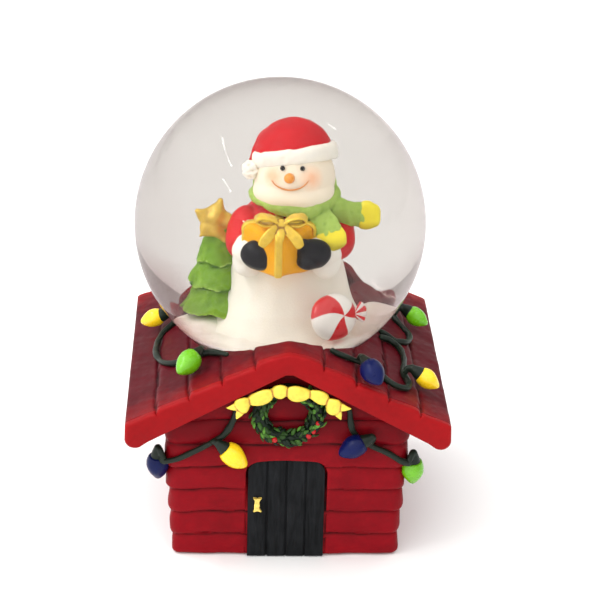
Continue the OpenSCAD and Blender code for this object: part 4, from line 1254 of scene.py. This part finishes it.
def make_arms(red):
    """Sleeves, fluffy cuffs and mittens that hold the gift."""
    sleeves, cuffs, mittens = [], [], []
    for shoulder, elbow, wrist, hand, side in ARMS:
        shoulder, elbow, wrist, hand = map(np.array, (shoulder, elbow, wrist, hand))
        sleeves.append(
            sweep([shoulder, elbow, elbow + (wrist - elbow) * 0.5], [4.4, 4.4, 4.0], count=24, sides=28))
        out = (hand - wrist) / np.linalg.norm(hand - wrist)
        cuffs.append(
            sweep([wrist - out * 3.0, wrist - out * 0.6, wrist + out * 1.4], [4.3, 4.9, 4.5], count=20,
                sides=32))
        cuffs.append(ball(wrist - out * 1.6 + [side * 0.2, 0, -3.2], (4.2, 4.5, 4.6)))
        mittens.append(ball(hand + [0.3, 0, 0], (5.1, 3.6, 4.3)))
        mittens.append(ball(hand + [-side * 2.4, -1.0, 2.4], (2.1, 1.9, 2.3)))
        mittens.append(ball(hand + [-side * 1.0, -0.6, -1.6], (3.6, 3.0, 2.8)))
    finish(fuse("sleeves", sleeves, 0.35, 4), red, ["coat_sleeves"], hollows=(3, 0.7))
    fluff = fuse("white_cuffs", cuffs, 0.35, 3)
    lumps(fluff, (4.0, 0.2, 45), (1.2, 0.06, 46))
    finish(fluff, snow_paint("cuff_snow", (0.88, 0.85, 0.77)), ["coat_cuffs"], hollows=(3, 0.8))
    hands = fuse("black_mittens", mittens, 0.28, 4)
    lumps(hands, (3, 0.12, 47))
    black = painted("mitten_paint", (0.005, 0.005, 0.009), None, (0.03, 0.035, 0.05), rough=0.38, coat=0.1,
        vary=0.3, bump=0.05)
    finish(hands, black, ["mittens"], hollows=(3, 0.6))


def make_scarf():
    """Two turns round the neck, one tail that flies and one that hangs, with yellow ends."""
    ring = []
    centre = np.array([1.1, 0.3, 113.2])
    tip = Matrix.Rotation(math.radians(-9), 3, "X")
    for layer, (r, z, t) in enumerate(((8.5, -1.2, 3.1), (8.0, 1.4, 2.5))):
        loop = []
        for i in range(49):
            a = TAU * i / 48
            p = Vector(
                (r * math.cos(a) * 1.06, r * math.sin(a),
                    z + 2.0 * math.cos(a) ** 2 + 0.5 * math.sin(2 * a + layer)))
            loop.append(np.array(tip @ p) + centre)
        ring.append(sweep(loop, t, t * 0.86, 96, 20))
    flying = sweep([(7.4, -3.5, 112.6), (11.4, -2.6, 110.8), (15.6, -1.6, 109.2), (19.2, -0.8, 108.6)],
        [2.1, 1.8, 1.6, 1.6], [4.2, 3.7, 3.6, 3.8], 40, 28, power=2.6)
    hanging = sweep([(6.6, -6.2, 112.4), (9.2, -9.0, 109.8), (10.8, -11.0, 107.2)], [1.7, 1.6, 1.6],
        [3.2, 3.5, 3.8], 30, 24, up=(0.8, 0.2, 0.3), power=2.6)
    knot = ball((6.6, -6.0, 112.2), (3.6, 2.8, 3.2))
    scarf = fuse("green_scarf", ring + [flying, hanging, knot], 0.32, 3)
    lumps(scarf, (3.4, 0.22, 51), (1.3, 0.08, 52))

    def darker(t, colour):
        return t.mix(t.ramp(t.noise(3.2, 3.0), 0.55, 0.72, 0, 0.55), colour, (0.19, 0.34, 0.05))

    green = painted("scarf_paint", (0.38, 0.55, 0.11), (0.12, 0.24, 0.03), (0.52, 0.68, 0.2), rough=0.5,
        coat=0.05, vary=0.15, bump=0.09, tone=darker)
    finish(scarf, green, ["scarf"], hollows=(3, 0.7))
    tips = [
        sweep([(19.2, -0.8, 108.6), (21.0, -0.4, 108.4), (22.8, -0.1, 108.3)], [1.65, 1.7, 1.4],
            [3.9, 4.0, 3.2], 20, 28, power=2.6),
        sweep([(10.8, -11.0, 107.2), (11.5, -12.0, 105.8), (12.1, -12.7, 104.4)], [1.7, 1.8, 1.5],
            [3.9, 4.4, 3.7], 20, 24, up=(0.8, 0.2, 0.3), power=2.6)]
    ends = fuse("scarf_ends", tips, 0.28, 3)
    lumps(ends, (2.0, 0.12, 53))

    def olive(t, colour):
        # The ends turn darker olive towards the bottom.
        lower = t.ramp(t.axis(2), 107 * MM, 104.5 * MM, 0, 0.7)
        return t.mix(lower, colour, (0.42, 0.34, 0.03))

    yellow = painted("fringe_paint", (0.95, 0.78, 0.05), (0.35, 0.22, 0.01), (0.98, 0.9, 0.2), rough=0.45,
        coat=0.05, vary=0.16, bump=0.08, tone=olive)
    finish(ends, yellow, ["scarf_fringe"], hollows=(3, 0.7))


def on_face(x, h, out=0.0):
    """A point on the head's front, x to the side and h up from its middle, and the way out of it."""
    reach = math.sqrt(HEAD_R**2 - x**2 - h**2)
    at = in_head(x, -reach, h)
    way = (at - np.array(HEAD_AT)) / HEAD_R
    return at + way * out, way


def make_head():
    """The head with its cheeks, eyes, nose and smile."""
    head = fuse("snow_head", [
        ball(tuple(HEAD_AT), (10.9, 10.5, 10.3), 96),
        ball(in_head(-0.3, -1.4, -3.4), (11.0, 8.8, 6.0), 64)], 0.32, 4)
    lumps(head, (9, 0.12, 61))
    left, _ = on_face(-6.4, 0.2)
    right, _ = on_face(4.6, -0.4)

    def blush(t, colour):
        """Airbrushed peach cheeks."""
        for point, size in ((left, 3.6), (right, 4.3)):
            near = t.ramp(t.distance(point), 0.6 * MM, size * MM, 0.75, 0.0)
            colour = t.mix(t.math("MULTIPLY", near, t.ramp(t.noise(1.6), 0.25, 0.7, 0.7, 1.0)), colour,
                (0.94, 0.42, 0.20))
        return colour

    finish(head, snow_paint("face_cream", (0.90, 0.80, 0.64), (0.72, 0.52, 0.34), 0.03, blush),
        ["snowman_head", "cheeks"], hollows=(3, 0.7))
    eyes = []
    for x in (-3.6, 1.9):
        at, way = on_face(x, 2.4, 0.2)
        eyes.append(ball(at, (0.72, 0.72, 0.5), 28, facing(way)))
    eye = mesh_object("eye_dots", join(eyes))
    lumps(eye, (1.0, 0.02, 62))
    finish(eye, painted("eye_black", (0.008, 0.007, 0.006), rough=0.25, coat=0.3, bump=0.02),
        ["eyes"])
    at, way = on_face(-1.7, -0.4, 0.8)
    nose = fuse("button_nose", [ball(at, (1.5, 1.45, 1.4), 32, facing(way)), ball(at - way * 1.0, 1.5, 24)],
        0.16, 3)
    finish(nose,
        painted("nose_orange", (0.86, 0.33, 0.05), (0.5, 0.12, 0.02), (0.95, 0.5, 0.15), rough=0.4, coat=0.3,
            vary=0.1, bump=0.04), ["nose"], hollows=(3, 0.4))
    smile = []
    for a in np.linspace(math.radians(206), math.radians(334), 25):
        x, h = -1.5 + 5.6 * math.cos(a), 0.9 + 4.6 * math.sin(a)
        smile.append(on_face(x, h, 0.1)[0] + in_head(0, -0.35, 0) - np.array(HEAD_AT))
    widths = 0.10 + 0.15 * np.sin(np.linspace(0.25, math.pi - 0.25, 25))
    mouth = mesh_object("smile", sweep(smile, widths, count=60, sides=12))
    finish(mouth, painted("smile_paint", (0.72, 0.30, 0.10), rough=0.5, bump=0.03),
        ["mouth"])


def make_hat():
    """The red hat with its fold, white band and pom-pom."""
    crown = [(0, 4.4), (9.4, 4.4), (10.5, 5.4)]
    crown += [(10.6 * math.cos(a), 6.4 + 10.0 * math.sin(a)) for a in np.linspace(0, math.pi / 2, 10)]
    turn = TILT @ Matrix.Rotation(math.radians(-4), 3, "Y")
    dome = lathe(spline(crown, 80), tuple(HEAD_AT), 96, turn)
    fold = sweep(
        [in_head(-5.0, 2.5, 12.0), in_head(-8.0, 2.0, 10.0), in_head(-10.2, 1.0, 6.4),
            in_head(-11.6, 0, 3.4)], [2.6, 2.3, 1.7, 1.2], count=30, sides=28)
    hat = fuse("red_hat", [dome, fold], 0.35, 4)
    lumps(hat, (6, 0.22, 63), (2.2, 0.07, 64))
    red = painted("hat_paint", (0.60, 0.008, 0.014), (0.2, 0.003, 0.005), (0.66, 0.02, 0.025), rough=0.5,
        coat=0.02, vary=0.14, bump=0.07, gloss=0.1)
    finish(hat, red, ["hat"], hollows=(3, 0.7))
    loop = []
    for i in range(49):
        a = TAU * i / 48
        loop.append(in_head(10.0 * math.cos(a), 9.4 * math.sin(a), 5.9 + 1.5 * math.cos(a)))
    brim = fuse("hat_band", [sweep(loop, 1.7, 2.5, 96, 24, power=2.6)], 0.32, 3)
    lumps(brim, (4.5, 0.16, 65), (1.2, 0.05, 66))
    fluff = snow_paint("band_snow", (0.90, 0.86, 0.77), bump=0.12)
    finish(brim, fluff, ["hat_brim"], hollows=(3, 0.8))
    pompom = fuse("pompom", [ball(in_head(-12.0, -1.4, 1.8), 2.6, 48)], 0.28, 2)
    lumps(pompom, (1.6, 0.34, 67), (0.7, 0.16, 68))
    finish(pompom, fluff, ["hat_pompom"], hollows=(3, 0.8))


# ---------------------------------------------------------------- gift, tree, star and candy


def make_gift():
    """The box, the straps over its corners, and the bow."""
    lo, hi = box("gift_box")
    centre = (lo + hi) / 2 - [1.0, 0, 0]
    turn = Matrix.Rotation(math.radians(43), 3, "Z")
    side, height = 14.8, hi[2] - lo[2]
    outline = np.array(rounded_rect(1, 1, 0.16, 8, 6))
    rings = []
    for s in np.linspace(0, 1, 41):
        a = abs(2 * s - 1)
        shrink = 1 - 3.2 * max(0, a - 0.8) ** 2
        bulge = side * shrink * (1 + 0.03 * (1 - a**2))
        pts = np.column_stack([outline * bulge, np.full(len(outline), (s - 0.5) * height)])
        rings.append(pts @ np.array(turn).T + centre)
    gift = fuse("gift", [ring_grid(rings)], 0.3, 5)
    lumps(gift, (6, 0.2, 72), (2, 0.06, 73))
    orange = painted("gift_paint", (0.93, 0.42, 0.006), (0.45, 0.13, 0.003), (0.98, 0.60, 0.04), rough=0.46,
        coat=0.02, vary=0.14, bump=0.06, gloss=0.12)
    finish(gift, orange, ["gift_box"], hollows=(3, 0.6))
    straps = []
    for across in (0, 1):
        for sign in (-1, 1):
            d = Vector((sign, sign * (1 - 2 * across), 0)).normalized()
            out = side * 0.655
            up_line = [d * out + Vector((0, 0, z))
                for z in (-height / 2 + 0.6, -height / 4, 0, height / 4, height / 2 - 1.2)]
            top_line = [d * (out - 1.8) + Vector((0, 0, height / 2 + 0.1)),
                d * 2.0 + Vector((0, 0, height / 2 + 0.25))]
            line = [np.array(turn @ p) + centre for p in up_line + top_line]
            normal = np.array(turn @ Vector((-d.y, d.x, 0)))
            straps.append(
                sweep(line, [0.55] * len(line), [1.2] * len(line), 50, 16, up=tuple(normal), power=3))
    gold = gold_paint("bow_gold", (0.78, 0.52, 0.045), (0.28, 0.12, 0.006))
    finish(fuse("gift_straps", straps, 0.25, 2), gold, ["gift_ribbon"], hollows=(2, 1.2))
    top = np.array([centre[0] + 0.4, centre[1] - 5.4, hi[2] + 2.0])
    bow = [ball(top + [0, -0.8, 0.2], (1.7, 1.4, 1.5))]
    for s in (-1, 1):
        loop = [top, top + [s * 2.6, -0.6, 1.9], top + [s * 5.6, -0.2, 2.3], top + [s * 7.0, 0.4, 0.9],
            top + [s * 5.0, 0, -0.3], top + [s * 1.6, -0.2, -0.2]]
        bow.append(
            sweep(loop, [0.5, 0.55, 0.6, 0.6, 0.55, 0.5], [1.3, 1.9, 2.1, 1.9, 1.6, 1.2], 50, 16,
                up=(0, 1, 0), power=2.4))
        tail = [top + [s * 0.4, -1.2, -0.2], top + [s * 2.6, -3.0, -1.4], top + [s * 4.6, -4.4, -3.4],
            top + [s * 5.6, -4.8, -5.0]]
        bow.append(
            sweep(tail, [0.45, 0.5, 0.5, 0.4], [1.1, 1.5, 1.7, 1.3], 40, 14, up=(s * 0.9, 0.1, 0.5),
                power=2.4))
    tail = [top + [0, -1.6, -0.4], top + [-0.2, -3.6, -2.0], top + [-0.6, -4.4, -4.6]]
    bow.append(sweep(tail, [0.45, 0.5, 0.4], [0.9, 1.2, 0.9], 30, 14, up=(1, 0, 0), power=2.4))
    obj = fuse("gift_bow_loops", bow, 0.24, 2)
    lumps(obj, (2.2, 0.12, 74))
    finish(obj, gold, ["gift_bow"], hollows=(2, 1.5))


TREE_X = -17.6


def make_tree():
    """Three tiers of branches and a plump star."""
    lo, hi = box("tree")
    x, y = TREE_X, middle("tree")[1]
    tiers = [(lo[2] + 2.6, 11.0, 8.9, 4.6), (lo[2] + 9.4, 10.5, 7.8, 3.4), (lo[2] + 15.6, 11.5, 6.0, 1.6)]
    parts = [sweep([(x, y, lo[2] + 2), (x, y, hi[2] - 4)], 1.8, count=20, sides=20, up=(0, 1, 0))]
    for k, (z0, h, wide, narrow) in enumerate(tiers):
        sides = 72
        angles = np.arange(sides) * TAU / sides
        lobes = 1 + 0.05 * np.cos(angles * 5 + k * 1.3)
        rings = []
        for s in np.linspace(0, 1, 22):
            r = (wide + (narrow - wide) * s**0.8) * (1 + (lobes - 1) * (1 - s))
            drop_z = -0.9 * (1 - s) * (lobes - 1) * 8
            rings.append(np.stack([x + r * np.cos(angles), y + r * np.sin(angles), z0 + h * s + drop_z], 1))
        inner = [
            np.stack(
                [x + wide * q * np.cos(angles), y + wide * q * np.sin(angles),
                    np.full(sides, z0 + 1.4 * (1 - q))], 1) for q in (0.2, 0.6)]
        parts.append(ring_grid(inner + rings))
    tree = fuse("fir_tree", parts, 0.34, 3)
    lumps(tree, (3.5, 0.3, 81), (1.4, 0.12, 82))

    def lights(t, colour):
        # Painted highlights: lighter green streaks down the tiers.
        streak = t.noise(2.4, 3.0, 0.6, t.stretch((1, 1, 0.35)))
        return t.mix(t.ramp(streak, 0.5, 0.75, 0, 0.6), colour, (0.30, 0.52, 0.06))

    green = painted("tree_paint", (0.15, 0.31, 0.016), (0.04, 0.12, 0.006), (0.42, 0.62, 0.14), rough=0.5,
        coat=0.05, vary=0.2, bump=0.08, tone=lights)
    finish(tree, green, ["tree"], hollows=(3, 0.8))
    star_at = middle("tree_star") + [0.3, -0.6, -3.0]
    turn = np.array(Matrix.Rotation(math.radians(-22), 3, "X"))
    arms = [ball(star_at, (3.6, 2.1, 3.6))]
    for i in range(5):
        a = TAU * i / 5 + 0.2
        way = turn @ np.array([math.sin(a), 0, math.cos(a)])
        across = turn @ np.array([math.cos(a), 0, -math.sin(a)])
        stops = [star_at + way * r for r in (0, 2.0, 4.0, 5.4)]
        arms.append(sweep(stops, [2.0, 1.8, 1.5, 1.1], [3.4, 2.9, 1.7, 0.6], 30, 20, up=tuple(across)))
    star = fuse("star", arms, 0.28, 3)
    lumps(star, (2.4, 0.22, 83))
    finish(star, gold_paint("star_gold", (0.66, 0.44, 0.06), (0.24, 0.10, 0.02)),
        ["tree_star"], hollows=(3, 0.9))


def make_candy():
    """A peppermint with three red arms, and the twist of its wrapper."""
    at = middle("candy") + [1.0, -0.3, 0.6]
    turn = Matrix.Rotation(math.radians(38), 3, "Z") @ Matrix.Rotation(math.radians(-20), 3, "X")
    upright = turn @ Matrix.Rotation(math.radians(90), 3, "X")
    profile = [(0, -3.2), (3, -3.0), (5.6, -2.3), (7.1, -1.1), (7.5, 0), (7.1, 1.1), (5.6, 2.3), (3, 3.0),
        (0, 3.2)]
    candy = mesh_object("peppermint", lathe(spline(profile, 60), at, 96, upright))
    lumps(candy, (5, 0.12, 91))
    t = Tree("candy_swirl")
    flat = t.turned(at, upright)
    x, y = t.math("SUBTRACT", t.axis(0, flat), 2.0 * MM), t.axis(1, flat)
    angle = t.math("ARCTAN2", y, x)
    radius = t.math("SQRT", t.math("ADD", t.math("MULTIPLY", x, x), t.math("MULTIPLY", y, y)))
    twist = t.math("ADD", angle, t.math("MULTIPLY", radius, -0.35 / (7 * MM)))
    wave = t.math("COSINE", t.math("ADD", t.math("MULTIPLY", twist, 3.0), math.radians(-3 * 118)))
    colour = t.mix(t.ramp(wave, 0.02, 0.16), (0.88, 0.84, 0.78), (0.66, 0.018, 0.022))
    t.surface(colour, t.ramp(t.noise(1.5), 0.3, 0.7, 0.25, 0.4), t.bump(t.noise(1.2), 0.05), Coat_Weight=0.4,
        Coat_Roughness=0.12)
    finish(candy, t.mat, ["candy"])
    parts = []
    for k in range(7):
        a = (k - 3) * 0.24
        d = np.array(upright @ Vector((math.cos(a), math.sin(a), 0.16 * (-1) ** k)))
        start = at + np.array(upright @ Vector((6.0, 0, 1.2)))
        stops = [start, start + d * 1.9, start + d * 4.0]
        parts.append(
            sweep(stops, [0.4, 0.7, 1.0], [0.6, 0.6, 0.45], 16, 12, up=tuple(upright @ Vector((0, 0, 1)))))
    wrap = fuse("candy_twists", parts, 0.2, 1)
    t = Tree("wrapper_paint")
    flat = t.turned(at, upright)
    x, y = t.axis(0, flat), t.axis(1, flat)
    ray = t.math("DIVIDE", y, t.math("SUBTRACT", t.math("ABSOLUTE", x), 6.0 * MM))
    stripe = t.math("SINE", t.math("MULTIPLY", ray, 6.0))
    colour = t.mix(t.ramp(stripe, -0.1, 0.2), (0.86, 0.78, 0.74), (0.66, 0.02, 0.025))
    t.surface(colour, t.ramp(t.noise(1.2), 0.3, 0.7, 0.28, 0.45), t.bump(t.noise(0.8), 0.05),
        Coat_Weight=0.3, Coat_Roughness=0.2)
    finish(wrap, t.mat, ["candy_wrapper"], hollows=(2, 0.6))


# ---------------------------------------------------------------- parts kept from the CAD model


def dress_movement():
    """Materials for the parts that keep their CAD meshes."""
    plastic = Tree("cover_plastic")
    grain = plastic.noise(0.45, 3.0)
    plastic.surface(
        plastic.mix(plastic.ramp(plastic.noise(12), 0.3, 0.7), (0.018, 0.018, 0.019), (0.032, 0.032, 0.034)),
        plastic.ramp(grain, 0.3, 0.7, 0.45, 0.62), plastic.bump(grain, 0.06))
    rubber = Tree("stopper_rubber")
    dust = rubber.noise(2.5, 4.0)
    rubber.surface(rubber.mix(rubber.ramp(dust, 0.5, 0.75), (0.02, 0.02, 0.02), (0.06, 0.058, 0.055)),
        rubber.ramp(dust, 0.3, 0.7, 0.7, 0.85), rubber.bump(rubber.noise(0.6), 0.05))
    fan = Tree("fan_plastic")
    haze = fan.noise(1.8, 3.0)
    fan.surface(fan.mix(haze, (0.78, 0.78, 0.75), (0.86, 0.86, 0.84)), fan.ramp(haze, 0.3, 0.7, 0.35, 0.5),
        fan.bump(haze, 0.03))
    looks = {
        metal("zinc_screws", (0.68, 0.69, 0.71), 0.28, (1, 1, 4)): ["cover_screws", "movement_screws"],
        metal("plated_steel", (0.62, 0.63, 0.66), 0.3, (6, 1, 1)): [
            "cylinder_brackets", "spring_housing", "governor_frame", "cylinder_shaft", "governor_gears",
            "worm_shaft"],
        metal("cast_plate", (0.50, 0.51, 0.53), 0.45, (1, 1, 1), (0.33, 0.33, 0.33)): ["bedplate"],
        metal("blued_steel", (0.28, 0.31, 0.40), 0.25, (8, 1, 1), (0.20, 0.16, 0.24)): ["mainspring", "comb"],
        metal("nickel_key", (0.72, 0.71, 0.69), 0.2, (1, 1, 5), (0.45, 0.42, 0.38)): ["winding_key",
            "winding_arbor"],
        metal("movement_brass", (0.78, 0.56, 0.22), 0.24, (5, 1, 1), (0.45, 0.28, 0.10)): [
            "crown_wheel", "pinned_cylinder", "cylinder_gears"],
        plastic.mat: ["bottom_cover"],
        rubber.mat: ["globe_stopper"],
        fan.mat: ["governor_fan"]}
    for mat, nodes in looks.items():
        for name in nodes:
            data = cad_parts[name].data
            if not data.materials:
                data.materials.append(mat)
            for i in range(len(data.materials)):
                data.materials[i] = mat


make_studio(make_camera())
tools = globe_tools()
make_walls(tools)
make_roof(tools)
drop(tools)
make_fascia()
make_door()
make_handle()
make_wreath()
make_ribbon()
make_lights()
make_globe()
make_snow()
make_arms(make_body())
make_scarf()
make_head()
make_hat()
make_gift()
make_tree()
make_candy()
dress_movement()
